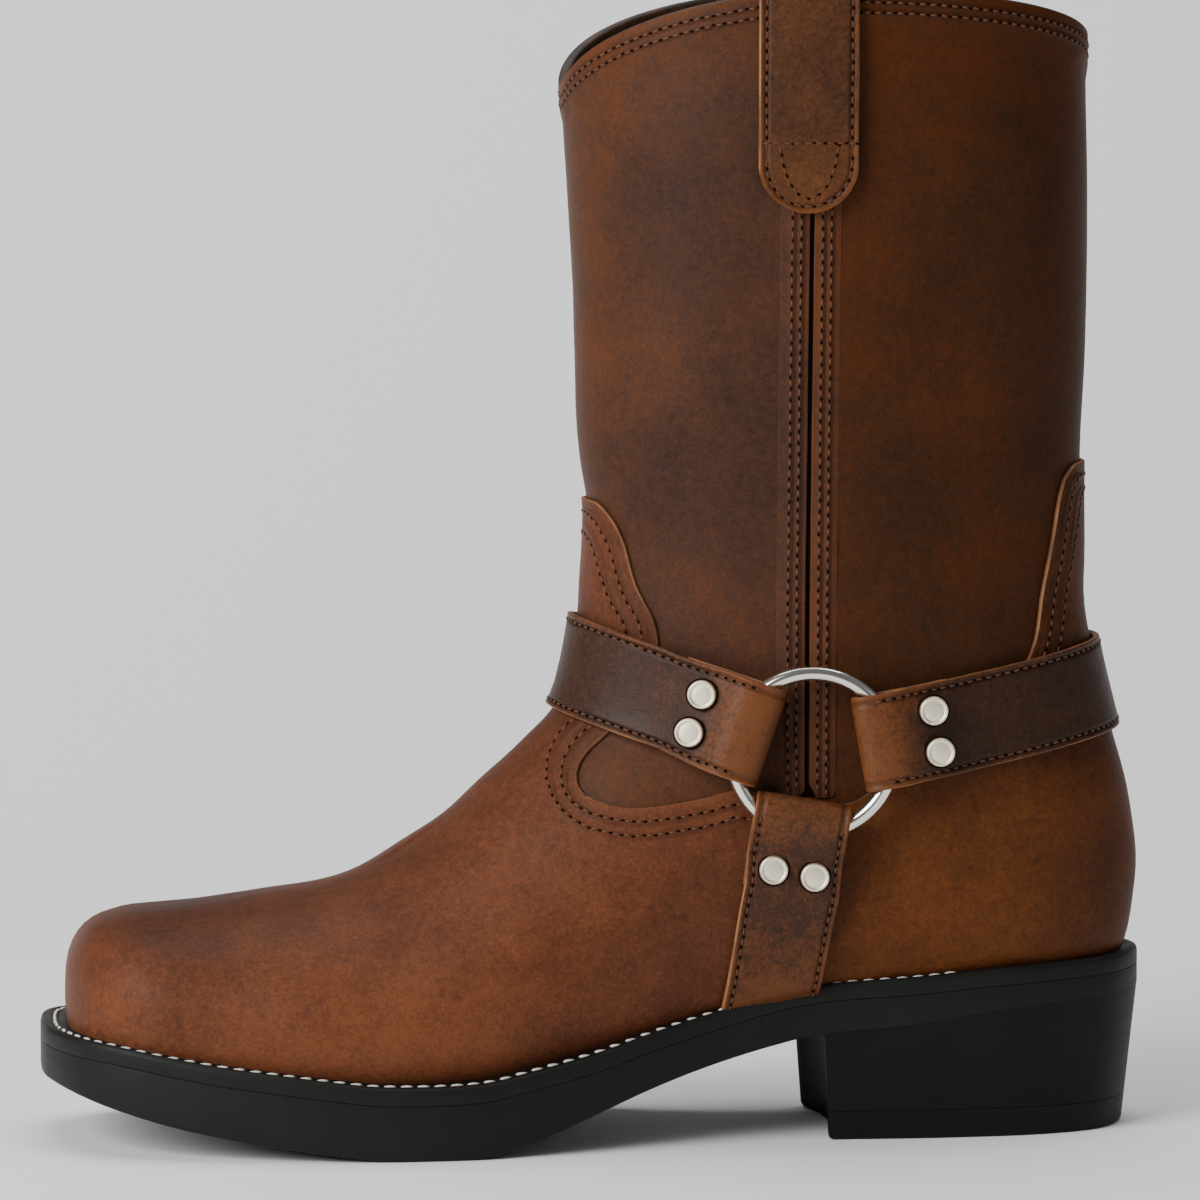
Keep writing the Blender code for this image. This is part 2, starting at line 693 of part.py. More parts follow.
def overlay(name: str, finish: bpy.types.Material, outline: list[tuple[float, float]],
            inner: float, thickness: float, near: float, far: float) -> bpy.types.Object:
    """Layer of leather on the upper, inside a side-view outline and above the welt."""
    piece = new_object(name, tube_mesh(name, inner + thickness), finish)
    cut(piece, prism(name + "_outline", outline, near, far), "INTERSECT")
    cut(piece, guide(name + "_inner", tube_mesh(name + "_inner", inner)), "DIFFERENCE")
    return piece


SEAM_X = at_length(0.678)
VAMP_PEAK_Z = SEAT_Z + 0.479 * SHAFT_HEIGHT
COUNTER_PEAK_Z = SEAT_Z + 0.515 * SHAFT_HEIGHT
SEAM_FOOT_Z = SEAT_Z + 0.176 * SHAFT_HEIGHT


def build_vamp(finish: bpy.types.Material) -> None:
    """Vamp overlay with its high front peak and the dip at each side."""
    out = REACH * 2
    front = at_length(0.490)
    peak = VAMP_PEAK_Z
    welt = [(x, sole_top(x) + GAP) for x in STATIONS if x < SEAM_X]
    edge = [
        (front - 0.020, peak + 0.0010), (front, peak), (front + 0.006, peak - 0.0026),
        (front + 0.0105, peak - 0.0100), (front + 0.0132, peak - 0.0230),
        (front + 0.0180, peak - 0.0350), (front + 0.0165, peak - 0.0500),
        (front + 0.0060, peak - 0.0625), (front - 0.0015, peak - 0.0700),
        (front - 0.0042, peak - 0.0760), (front - 0.0026, peak - 0.0805),
        (front + 0.0030, peak - 0.0830), (front + 0.0130, peak - 0.0840),
        (front + 0.0290, peak - 0.0815), (front + 0.0390, peak - 0.0788),
        (front + 0.0460, peak - 0.0800), (SEAM_X - GAP / 2, SEAM_FOOT_Z),
    ]
    outline = [(-out, peak + 0.0010)] + edge
    outline += [(SEAM_X - GAP / 2, sole_top(SEAM_X) + GAP)] + welt[::-1] + [(-out, welt[0][1])]
    overlay("vamp", finish, outline, GAP, OVERLAY, -REACH, REACH)


def build_counter(finish: bpy.types.Material) -> None:
    """Back counter overlay with its narrow peak."""
    out = REACH * 2
    back = at_length(0.946)
    peak = COUNTER_PEAK_Z
    welt = [(x, sole_top(x) + GAP) for x in STATIONS if x > SEAM_X + 0.001]
    edge = [
        (out, peak), (back, peak - 0.0002), (back - 0.0065, peak - 0.0012),
        (back - 0.0100, peak - 0.0060), (back - 0.0128, peak - 0.0200),
        (back - 0.0160, peak - 0.0350), (back - 0.0185, peak - 0.0490),
        (back - 0.0260, peak - 0.0620), (back - 0.0430, peak - 0.0760),
        (back - 0.0620, peak - 0.0860), (SEAM_X + 0.0120, SEAM_FOOT_Z + 0.0006),
        (SEAM_X + GAP / 2, SEAM_FOOT_Z),
    ]
    outline = edge + [(SEAM_X + GAP / 2, sole_top(SEAM_X) + GAP)] + welt + [(out, welt[-1][1])]
    overlay("counter", finish, outline, GAP, OVERLAY, -REACH, REACH)


def build_seam_flaps(finish: bpy.types.Material) -> None:
    """Two raised flaps along each side seam, with the groove between them."""
    low = SEAM_FOOT_Z + 5 * GAP
    high = COLLAR_Z - BAND_HEIGHT - 0.002
    groove = SEAM_GROOVE / 2
    spans = {
        "front": (SEAM_X - groove - FLAP_FRONT_WIDTH, SEAM_X - groove),
        "back": (SEAM_X + groove, SEAM_X + groove + FLAP_BACK_WIDTH),
    }
    for side, near, far in (("lateral", -REACH, -GAP), ("medial", GAP, REACH)):
        for part, (left, right) in spans.items():
            outline = [(left, low), (right, low), (right, high), (left, high)]
            overlay(f"seam_flap_{part}_{side}", finish, outline, GAP, FLAP, near, far)


def loops_tree(loops: list[list[Vector]]) -> BVHTree:
    """Search tree of a surface made of loops."""
    around = len(loops[0])
    points = [p for loop in loops for p in loop]
    faces = []
    for i in range(len(loops) - 1):
        for j in range(around):
            n = (j + 1) % around
            a, b = i * around + j, i * around + n
            faces += [(a, a + around, b + around), (a, b + around, b)]
    return BVHTree.FromPolygons(points, faces)


FACETED_TREE = loops_tree(FORM)
SMOOTH_TREE = loops_tree(refine(form_grid(AROUND * 4), 3))


def hit_from(origin: Vector, way: Vector, innermost: bool = False) -> Vector:
    """Where a line out from inside the boot leaves both the faceted and the smooth form."""
    places = [tree.ray_cast(origin, way)[0] for tree in (FACETED_TREE, SMOOTH_TREE)]
    if None in places:
        raise ValueError(f"no form at {tuple(origin)}")
    choose = min if innermost else max
    return choose(places, key=lambda place: (place - origin).length)


RING_X = at_length(0.6823)
RING_Z = SEAT_Z + 0.2296 * SHAFT_HEIGHT
RING_RADIUS = (RING_OUTER - RING_WIRE) / 2
BASE_LIFT = GAP + OVERLAY + GAP + STRAP_SLACK
RETURN_MID = BASE_LIFT + STRAP / 2
WIRE_MID = BASE_LIFT + STRAP + GAP + RING_WIRE / 2
OVER_WIRE_MID = WIRE_MID + RING_WIRE / 2 + GAP + STRAP / 2
OVER_RETURN_MID = RETURN_MID + STRAP + GAP


class Place(NamedTuple):
    """Ring's seat on one side of the boot."""

    side: float
    centre: Vector
    out: Vector


def side_spot(x: float, z: float, side: float, innermost: bool = False) -> Vector:
    """Point of the form's side, straight out from the middle."""
    return hit_from(Vector((x, 0, z)), Vector((0, side, 0)), innermost)


def ring_place(side: float) -> Place:
    """Plane that the ring lies on: level with the form and touching it from outside."""
    span = RING_RADIUS
    centre = side_spot(RING_X, RING_Z, side)
    across = side_spot(RING_X + span, RING_Z, side) - side_spot(RING_X - span, RING_Z, side)
    upward = side_spot(RING_X, RING_Z + span, side) - side_spot(RING_X, RING_Z - span, side)
    out = across.cross(upward).normalized()
    if out.y * side < 0:
        out = -out
    proud = 0.0
    for k in range(16):
        angle = 2 * math.pi * k / 16
        for reach in (span * 0.6, span * 1.2):
            x = RING_X + reach * math.cos(angle)
            z = RING_Z + reach * math.sin(angle)
            proud = max(proud, (side_spot(x, z, side) - centre).dot(out))
    return Place(side, centre + out * proud, out)


def seat_level(seat: Place, flat: Vector, surface: Vector, distance: float) -> Vector:
    """Place of a strap's point: on the ring's plane near the ring, on the form further off."""
    spot = flat.lerp(surface, ease(distance, RING_RADIUS + RING_WIRE, RING_RADIUS * 1.8))
    sunk = max((surface - spot).dot(seat.out), 0.0)
    return spot + seat.out * sunk * ease(distance, RING_RADIUS + RING_WIRE / 2, RING_RADIUS * 1.3)


def fold_reach(width: float) -> float:
    """Distance from the ring's centre at which a flat fold of this width clears the wire."""
    inner = RING_RADIUS - RING_WIRE / 2
    return math.sqrt(inner**2 - (width / 2) ** 2) - 2 * GAP - STRAP


def ease(x: float, start: float, end: float) -> float:
    """Smooth step from 0 at start to 1 at end."""
    t = min(max((x - start) / (end - start), 0.0), 1.0)
    return t * t * (3 - 2 * t)


class Leg(NamedTuple):
    """Middle line of a folded strap, seen from its edge: distance along and height."""

    along: float
    height: float


def fold_line(fold: float) -> list[Leg]:
    """Middle line from the end of the return leg round the fold and down behind the rivets.

    fold is where the fold's outer face lies, measured from the ring's centre.
    """
    radius = (OVER_WIRE_MID - RETURN_MID) / 2
    centre = fold + STRAP / 2 + radius
    inner_end = fold + STRAP_RETURN
    line = [Leg(inner_end, RETURN_MID), Leg((inner_end + centre) / 2, RETURN_MID)]
    for k in range(7):
        angle = -math.pi / 2 - math.pi * k / 6
        line.append(Leg(centre + radius * math.cos(angle),
                        RETURN_MID + radius + radius * math.sin(angle)))
    ramp = RING_RADIUS + RING_WIRE / 2
    down = fold + RIVET_FROM_FOLD - RIVET_DIAMETER * 0.6
    flat = fold + RIVET_FROM_FOLD + RIVET_DIAMETER * 0.6
    line += [Leg(min(ramp, down - 0.002), OVER_WIRE_MID), Leg(down, OVER_RETURN_MID),
             Leg(flat, OVER_RETURN_MID), Leg(inner_end + 2 * STRAP, RETURN_MID)]
    return line


def thick_outline(line: list[Leg], thickness: float) -> list[Leg]:
    """Closed outline of a sheet with this middle line."""
    left, right = [], []
    for i, leg in enumerate(line):
        before = line[max(i - 1, 0)]
        after = line[min(i + 1, len(line) - 1)]
        run = Vector((after.along - before.along, after.height - before.height)).normalized()
        normal = Vector((-run.y, run.x)) * thickness / 2
        left.append(Leg(leg.along + normal.x, leg.height + normal.y))
        right.append(Leg(leg.along - normal.x, leg.height - normal.y))
    return left + right[::-1]


def strap_mesh(name: str, outline: list[Leg], rows: list[float],
               place: Callable[[float, float, float], Vector]) -> bpy.types.Mesh:
    """Solid whose edge view is outline, drawn across the strap through rows."""
    loops = [[place(leg.along, row, leg.height) for leg in outline] for row in rows]
    return loops_mesh(name, loops, False)


def wrap_places(tilt: float, toward_front: bool) -> tuple[list[float], list[float]]:
    """Angles round the boot and the strap's length at each, from the lateral side round."""
    steps = math.ceil(WRAP_REACH / WRAP_STEP)
    angles = [WRAP_STEP * k for k in range(-steps, steps + 1)]
    lengths = [0.0]
    last = wrap_hit(tilt, toward_front, angles[0], 0.0)
    for angle in angles[1:]:
        spot = wrap_hit(tilt, toward_front, angle, 0.0)
        lengths.append(lengths[-1] + (spot - last).length)
        last = spot
    return angles, lengths


def wrap_axes(tilt: float, toward_front: bool) -> tuple[Vector, Vector]:
    """Ways along the strap in side view and across it upwards."""
    sign = -1.0 if toward_front else 1.0
    ahead = Vector((sign * math.cos(tilt), 0, math.sin(tilt)))
    across = Vector((-sign * math.sin(tilt), 0, math.cos(tilt)))
    return ahead, across


def wrap_hit(tilt: float, toward_front: bool, angle: float, row: float) -> Vector:
    """Point of the form under the strap: angle 0 ahead, negative on the lateral side."""
    ahead, across = wrap_axes(tilt, toward_front)
    start = Vector((RING_X, 0, RING_Z)) - ahead * ((RING_X - SHAFT_AXIS_X) / ahead.x)
    way = ahead * math.cos(angle) + Vector((0, math.sin(angle), 0))
    return hit_from(start + across * row, way)


def rivet_seats(mesh: bpy.types.Mesh,
                spots: list[tuple[Vector, Vector]]) -> list[tuple[Vector, Vector]]:
    """Rivets' seats moved out until each whole head clears the strap."""
    tree = BVHTree.FromPolygons([v.co.copy() for v in mesh.vertices],
                                [tuple(p.vertices) for p in mesh.polygons])
    seats = []
    for top, out in spots:
        level = out.cross(Vector((0, 0, 1))).normalized()
        upward = out.cross(level)
        proud = []
        for k in range(RIVET_STEPS * 2):
            angle = math.pi * k / RIVET_STEPS
            for reach in (0.0, RIVET_DIAMETER / 4, RIVET_DIAMETER / 2):
                start = top + (level * math.cos(angle) + upward * math.sin(angle)) * reach
                place = tree.ray_cast(start + out * STRAP * 5, -out)[0]
                if place is not None:
                    proud.append((place - top).dot(out))
        seats.append((top + out * (max(proud) + GAP), out))
    return seats


def strap_rows(width: float) -> list[float]:
    """Rows across a strap."""
    return [width * (k / (STRAP_ROWS - 1) - 0.5) for k in range(STRAP_ROWS)]


def build_wrap_strap(name: str, finish: bpy.types.Material, tilt: float, toward_front: bool,
                     width: float) -> dict[float, list[tuple[Vector, Vector]]]:
    """Strap from the lateral ring round the boot to the medial ring, folded at both."""
    angles, lengths = wrap_places(tilt, toward_front)
    total = lengths[-1]
    ahead, across = wrap_axes(tilt, toward_front)
    ends = {}
    for side in (-1.0, 1.0):
        best = min(
            range(len(angles)),
            key=lambda i: abs((wrap_hit(tilt, toward_front, angles[i], 0.0)
                               - Vector((RING_X, 0, RING_Z))).dot(ahead))
            + (1.0 if angles[i] * side < 0 else 0.0),
        )
        near = angles[best]
        gap_here = (wrap_hit(tilt, toward_front, near, 0.0)
                    - Vector((RING_X, 0, RING_Z))).dot(ahead)
        ends[side] = lengths[best] + side * gap_here
    places = {side: ring_place(side) for side in (-1.0, 1.0)}

    def on_form(length: float, row: float) -> Vector:
        length = min(max(length, 0.001), total - 0.001)
        i = max(k for k in range(len(lengths) - 1) if lengths[k] <= length)
        part = (length - lengths[i]) / (lengths[i + 1] - lengths[i])
        angle = angles[i] + (angles[i + 1] - angles[i]) * part
        return wrap_hit(tilt, toward_front, angle, row)

    def place(length: float, row: float, height: float) -> Vector:
        step = 0.003
        spot = on_form(length, row)
        run = on_form(length + step, row) - on_form(length - step, row)
        rise = on_form(length, row + step) - on_form(length, row - step)
        normal = run.cross(rise).normalized()
        if normal.dot(Vector((spot.x - SHAFT_AXIS_X, spot.y, 0))) < 0:
            normal = -normal
        surface = spot + normal * height
        side = -1.0 if length < total / 2 else 1.0
        distance = (length - ends[side]) * -side
        seat = places[side]
        level = ahead - seat.out * ahead.dot(seat.out)
        upward = across - seat.out * across.dot(seat.out)
        flat = seat.centre + level * distance + upward * row + seat.out * height
        return seat_level(seat, flat, surface, distance)

    line = fold_line(fold_reach(width))
    near_end = [Leg(ends[-1.0] + leg.along, leg.height) for leg in line]
    far_end = [Leg(ends[1.0] - leg.along, leg.height) for leg in line]
    run = []
    start, stop = near_end[-1].along, far_end[-1].along
    for k in range(1, STRAP_STEPS):
        run.append(Leg(start + (stop - start) * k / STRAP_STEPS, RETURN_MID))
    whole = near_end + run + far_end[::-1]
    mesh = strap_mesh(name, thick_outline(whole, STRAP), strap_rows(width), place)
    new_object(name, mesh, finish)
    spots = {}
    for side in (-1.0, 1.0):
        flat = []
        for row in (-RIVET_SPACING / 2, RIVET_SPACING / 2):
            length = ends[side] - side * (fold_reach(width) + RIVET_FROM_FOLD)
            top = place(length, row, OVER_RETURN_MID + STRAP / 2)
            base = place(length, row, OVER_RETURN_MID)
            flat.append((top, (top - base).normalized()))
        spots[side] = rivet_seats(mesh, flat)
    return spots


def build_under_strap(side: float, word: str,
                      finish: bpy.types.Material) -> list[tuple[Vector, Vector]]:
    """Strap from the ring down to the welt on one side."""
    down = Vector((-math.sin(STRAP_UNDER_TILT), 0, -math.cos(STRAP_UNDER_TILT)))
    across = Vector((math.cos(STRAP_UNDER_TILT), 0, -math.sin(STRAP_UNDER_TILT)))
    seat = ring_place(side)
    fold = fold_reach(STRAP_UNDER_WIDTH)
    line = fold_line(fold)
    loose = line[-1].along

    def row_end(row: float) -> float:
        length = RING_Z / 2
        for _ in range(8):
            spot = Vector((RING_X, 0, RING_Z)) + down * length + across * row
            length += spot.z - sole_top(spot.x) + UNDER_TRIM
        return length

    def on_form(length: float, row: float) -> Vector:
        if length > loose:
            length = loose + (length - loose) * (row_end(row) - loose) / (end - loose)
        spot = Vector((RING_X, 0, RING_Z)) + down * length + across * row
        return side_spot(spot.x, spot.z, side)

    def place(length: float, row: float, height: float) -> Vector:
        step = 0.003
        spot = on_form(length, row)
        run = on_form(length + step, row) - on_form(length - step, row)
        rise = on_form(length, row + step) - on_form(length, row - step)
        normal = run.cross(rise).normalized()
        if normal.y * side < 0:
            normal = -normal
        level = down - seat.out * down.dot(seat.out)
        sideways = across - seat.out * across.dot(seat.out)
        flat = seat.centre + level * length + sideways * row + seat.out * height
        return seat_level(seat, flat, spot + normal * height, length)

    end = row_end(0.0)
    steps = 6
    for k in range(1, steps + 1):
        line.append(Leg(loose + (end - loose) * k / steps, RETURN_MID))
    name = f"strap_under_{word}"
    outline = thick_outline(line, STRAP)
    mesh = strap_mesh(name, outline, strap_rows(STRAP_UNDER_WIDTH), place)
    strap = new_object(name, mesh, finish)
    cut(strap, bpy.data.objects["under_upper"], "DIFFERENCE")
    spots = []
    for row in (-RIVET_SPACING / 2, RIVET_SPACING / 2):
        top = place(fold + RIVET_FROM_FOLD, row, OVER_RETURN_MID + STRAP / 2)
        base = place(fold + RIVET_FROM_FOLD, row, OVER_RETURN_MID)
        spots.append((top, (top - base).normalized()))
    return rivet_seats(mesh, spots)


def build_ring(side: float, word: str, finish: bpy.types.Material) -> None:
    """Round ring of wire, lying on the side of the boot."""
    seat = ring_place(side)
    level = Vector((1, 0, 0)) - seat.out * seat.out.x
    level.normalize()
    upward = seat.out.cross(level).normalized()
    centre = seat.centre + seat.out * WIRE_MID
    loops = []
    for k in range(RING_STEPS):
        angle = 2 * math.pi * k / RING_STEPS
        away = level * math.cos(angle) + upward * math.sin(angle)
        loops.append([
            centre + away * (RING_RADIUS + RING_WIRE / 2 * math.cos(turn))
            + seat.out * RING_WIRE / 2 * math.sin(turn)
            for turn in (2 * math.pi * m / 8 for m in range(8))
        ])
    new_object(f"ring_{word}", loops_mesh(f"ring_{word}", loops, True), finish)


def build_rivet(name: str, top: Vector, out: Vector, finish: bpy.types.Material) -> None:
    """Rivet head: a low turned cap, its back flat on the strap."""
    level = out.cross(Vector((0, 0, 1))).normalized()
    upward = out.cross(level).normalized()
    radius = RIVET_DIAMETER / 2
    profile = [(radius, 0.0), (radius, RIVET_HEIGHT * 0.5), (radius * 0.72, RIVET_HEIGHT)]
    loops = [
        [top + (level * math.cos(a) + upward * math.sin(a)) * r + out * h
         for a in (2 * math.pi * k / RIVET_STEPS for k in range(RIVET_STEPS))]
        for r, h in profile
    ]
    new_object(name, loops_mesh(name, loops, False), finish)


def build_pull_strap(side: float, word: str, finish: bpy.types.Material) -> None:
    """Pull strap over the collar: rounded end outside, finger loop above, short leg inside."""
    middle_x = SEAM_X - 0.0015
    outside = GAP + FLAP + GAP + PULL_LEATHER / 2
    inside = WALL + GAP + PULL_LEATHER / 2
    low = COLLAR_Z - PULL_DROP
    rim = COLLAR_Z - BAND_STEP
    half = PULL_WIDTH / 2

    def row_line(row: float, lift: float) -> list[Leg]:
        line = []
        for k in range(6):
            z = low + lift + (rim - low - lift) * k / 5
            line.append(Leg(side_spot(middle_x + row, z, side).y + side * outside, z))
        first = line[-1].along
        last = side_spot(middle_x + row, rim, side, True).y - side * inside
        for k in range(1, 7):
            angle = math.pi * k / 7
            reach = (abs(first - last) / 2 + PULL_BULGE * math.sin(angle)) * math.cos(angle)
            line.append(Leg((first + last) / 2 + side * reach, rim + PULL_LOOP * math.sin(angle)))
        for k in range(3):
            z = rim - PULL_INSIDE_DROP * k / 2
            line.append(Leg(side_spot(middle_x + row, z, side, True).y - side * inside, z))
        return line

    loops = []
    for share in (-1.0, -0.75, 0.0, 0.75, 1.0):
        lift = half * (1 - math.sqrt(1 - (abs(share) * 0.97) ** 2))
        outline = thick_outline(row_line(share * half, lift), PULL_LEATHER)
        loops.append([Vector((middle_x + share * half, leg.along, leg.height)) for leg in outline])
    new_object(f"pull_strap_{word}", loops_mesh(f"pull_strap_{word}", loops, False), finish)


def main() -> None:
    """Build the boot."""
    for item in list(bpy.data.objects):
        bpy.data.objects.remove(item, do_unlink=True)
    brown = material("oiled_leather_brown", (0.115, 0.045, 0.018), 0.55)
    rust = material("oiled_leather_rust", (0.20, 0.075, 0.026), 0.5)
    dark = material("strap_leather", (0.06, 0.026, 0.013), 0.5)
    rubber = material("black_rubber", (0.012, 0.012, 0.012), 0.65)
    nickel = material("nickel_plate", (0.72, 0.70, 0.66), 0.2, 1.0)
    board = material("insole_leather", (0.25, 0.15, 0.08), 0.8)
    build_outsole(rubber)
    build_welt(rubber)
    build_heel(rubber)
    build_upper(brown)
    build_insole(board)
    build_vamp(rust)
    build_counter(rust)
    build_seam_flaps(brown)
    rivets = []
    for name, tilt, toward_front, width in (
        ("strap_front", STRAP_FRONT_TILT, True, STRAP_FRONT_WIDTH),
        ("strap_back", STRAP_BACK_TILT, False, STRAP_BACK_WIDTH),
    ):
        spots = build_wrap_strap(name, dark, tilt, toward_front, width)
        for side, word in ((-1.0, "lateral"), (1.0, "medial")):
            rivets += [(f"rivet_{name[6:]}_{word}_{i}", *spot)
                       for i, spot in enumerate(spots[side], 1)]
    for side, word in ((-1.0, "lateral"), (1.0, "medial")):
        build_ring(side, word, nickel)
        spots = build_under_strap(side, word, dark)
        rivets += [(f"rivet_under_{word}_{i}", *spot) for i, spot in enumerate(spots, 1)]
        build_pull_strap(side, word, dark)
    for name, top, out in rivets:
        build_rivet(name, top, out, nickel)


main()
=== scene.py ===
"""Looks of a harness boot for the left foot, made round its solids.

Metres, +Z up. The toe points to -X, the outer (lateral) side faces -Y, Z = 0 is the floor.
One smooth form gives the upper. Overlays, straps, stitches and rivets are worked out on it.
"""

import logging
import math
from dataclasses import dataclass, field
from enum import Enum
from typing import Callable, NamedTuple

import bmesh
import bpy
import numpy as np
from bpy.types import Material, Node, NodeSocket, NodeTree, Object
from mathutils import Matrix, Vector
from mathutils.bvhtree import BVHTree

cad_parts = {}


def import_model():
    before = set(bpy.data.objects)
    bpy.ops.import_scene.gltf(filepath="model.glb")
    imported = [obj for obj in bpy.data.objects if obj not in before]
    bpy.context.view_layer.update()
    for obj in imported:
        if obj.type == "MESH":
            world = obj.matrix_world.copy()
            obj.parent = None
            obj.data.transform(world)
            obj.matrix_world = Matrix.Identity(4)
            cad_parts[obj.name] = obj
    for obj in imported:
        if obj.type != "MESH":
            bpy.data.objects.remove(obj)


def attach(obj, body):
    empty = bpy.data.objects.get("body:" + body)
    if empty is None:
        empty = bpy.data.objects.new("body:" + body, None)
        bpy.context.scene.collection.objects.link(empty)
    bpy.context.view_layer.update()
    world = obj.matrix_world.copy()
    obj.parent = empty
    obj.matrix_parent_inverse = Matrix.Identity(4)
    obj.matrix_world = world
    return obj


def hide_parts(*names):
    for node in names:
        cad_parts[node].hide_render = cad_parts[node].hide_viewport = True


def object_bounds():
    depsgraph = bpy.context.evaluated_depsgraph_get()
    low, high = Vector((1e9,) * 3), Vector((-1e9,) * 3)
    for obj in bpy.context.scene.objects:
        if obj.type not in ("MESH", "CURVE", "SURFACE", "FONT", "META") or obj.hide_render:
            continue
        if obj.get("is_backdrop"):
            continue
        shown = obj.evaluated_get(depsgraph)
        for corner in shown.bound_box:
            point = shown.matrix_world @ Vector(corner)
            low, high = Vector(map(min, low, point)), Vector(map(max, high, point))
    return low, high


LOG = logging.getLogger("boot")
MM = 0.001

# Rows of stitches, in millimetres from the edge that they follow
COLLAR_ROWS = (2.8, 5.6)
OVERLAY_ROWS = (3.3, 7.0)
SEAM_ROWS = (2.0, 4.4)
STRAP_ROWS = (1.9,)

# Stitches of the straps, and the long ones of the welt
FINE_STITCH = {"Pitch": 2.9 * MM, "Stitch Length": 2.1 * MM, "Thread": 0.5 * MM}
WELT_STITCH = {"Pitch": 4.6 * MM, "Stitch Length": 3.9 * MM, "Thread": 1.15 * MM,
               "Hole": 0.9 * MM}

# Share of the leather's colour ramp that its clouds swing about
MIDDLE_TONE = 0.43

# Material slots of a sheet of leather
OUTSIDE, CUT_EDGE, INSIDE, BACK_PANEL = range(4)


class SoleLine(NamedTuple):
    """One station of the sole's side view, as shares of the named sizes."""

    along: float
    toe: float
    heel: float
    thick: float


SOLE_LINES = [
    SoleLine(0.000, 0.94, 0.00, 0.77),
    SoleLine(0.020, 0.85, 0.00, 0.83),
    SoleLine(0.060, 0.66, 0.00, 0.96),
    SoleLine(0.105, 0.47, 0.00, 1.03),
    SoleLine(0.155, 0.31, 0.00, 1.06),
    SoleLine(0.210, 0.17, 0.00, 1.09),
    SoleLine(0.260, 0.06, 0.00, 1.10),
    SoleLine(0.300, 0.00, 0.00, 1.10),
    SoleLine(0.385, 0.00, 0.00, 1.12),
    SoleLine(0.430, 0.00, 0.12, 1.07),
    SoleLine(0.485, 0.00, 0.34, 0.92),
    SoleLine(0.540, 0.00, 0.56, 0.84),
    SoleLine(0.600, 0.00, 0.76, 0.79),
    SoleLine(0.660, 0.00, 0.92, 0.78),
    SoleLine(0.700, 0.00, 1.00, 0.75),
    SoleLine(0.780, 0.00, 1.07, 0.72),
    SoleLine(0.870, 0.00, 1.20, 0.63),
    SoleLine(1.000, 0.00, 1.29, 0.58),
]


class PlanPoint(NamedTuple):
    """One point of the outsole's outline: share of its length, share of half its width."""

    along: float
    across: float


PLAN = [
    PlanPoint(0.000, 0.10),
    PlanPoint(0.006, -0.28),
    PlanPoint(0.045, -0.64),
    PlanPoint(0.125, -0.86),
    PlanPoint(0.240, -0.99),
    PlanPoint(0.355, -1.01),
    PlanPoint(0.470, -0.90),
    PlanPoint(0.585, -0.74),
    PlanPoint(0.695, -0.66),
    PlanPoint(0.800, -0.66),
    PlanPoint(0.900, -0.60),
    PlanPoint(0.970, -0.40),
    PlanPoint(1.000, 0.00),
    PlanPoint(0.970, 0.40),
    PlanPoint(0.900, 0.59),
    PlanPoint(0.800, 0.63),
    PlanPoint(0.695, 0.58),
    PlanPoint(0.600, 0.57),
    PlanPoint(0.500, 0.68),
    PlanPoint(0.400, 0.87),
    PlanPoint(0.300, 0.97),
    PlanPoint(0.200, 0.94),
    PlanPoint(0.100, 0.83),
    PlanPoint(0.035, 0.64),
    PlanPoint(0.006, 0.42),
]


class Section(NamedTuple):
    """One section of the upper, from its front or top edge to its back or bottom edge."""

    front_along: float
    instep: float
    rise: float
    back_along: float
    back_rise: float
    tuck: float
    ball: float
    shaft: float
    centre: float
    widest: float
    front_power: float
    back_power: float
    ridge: float


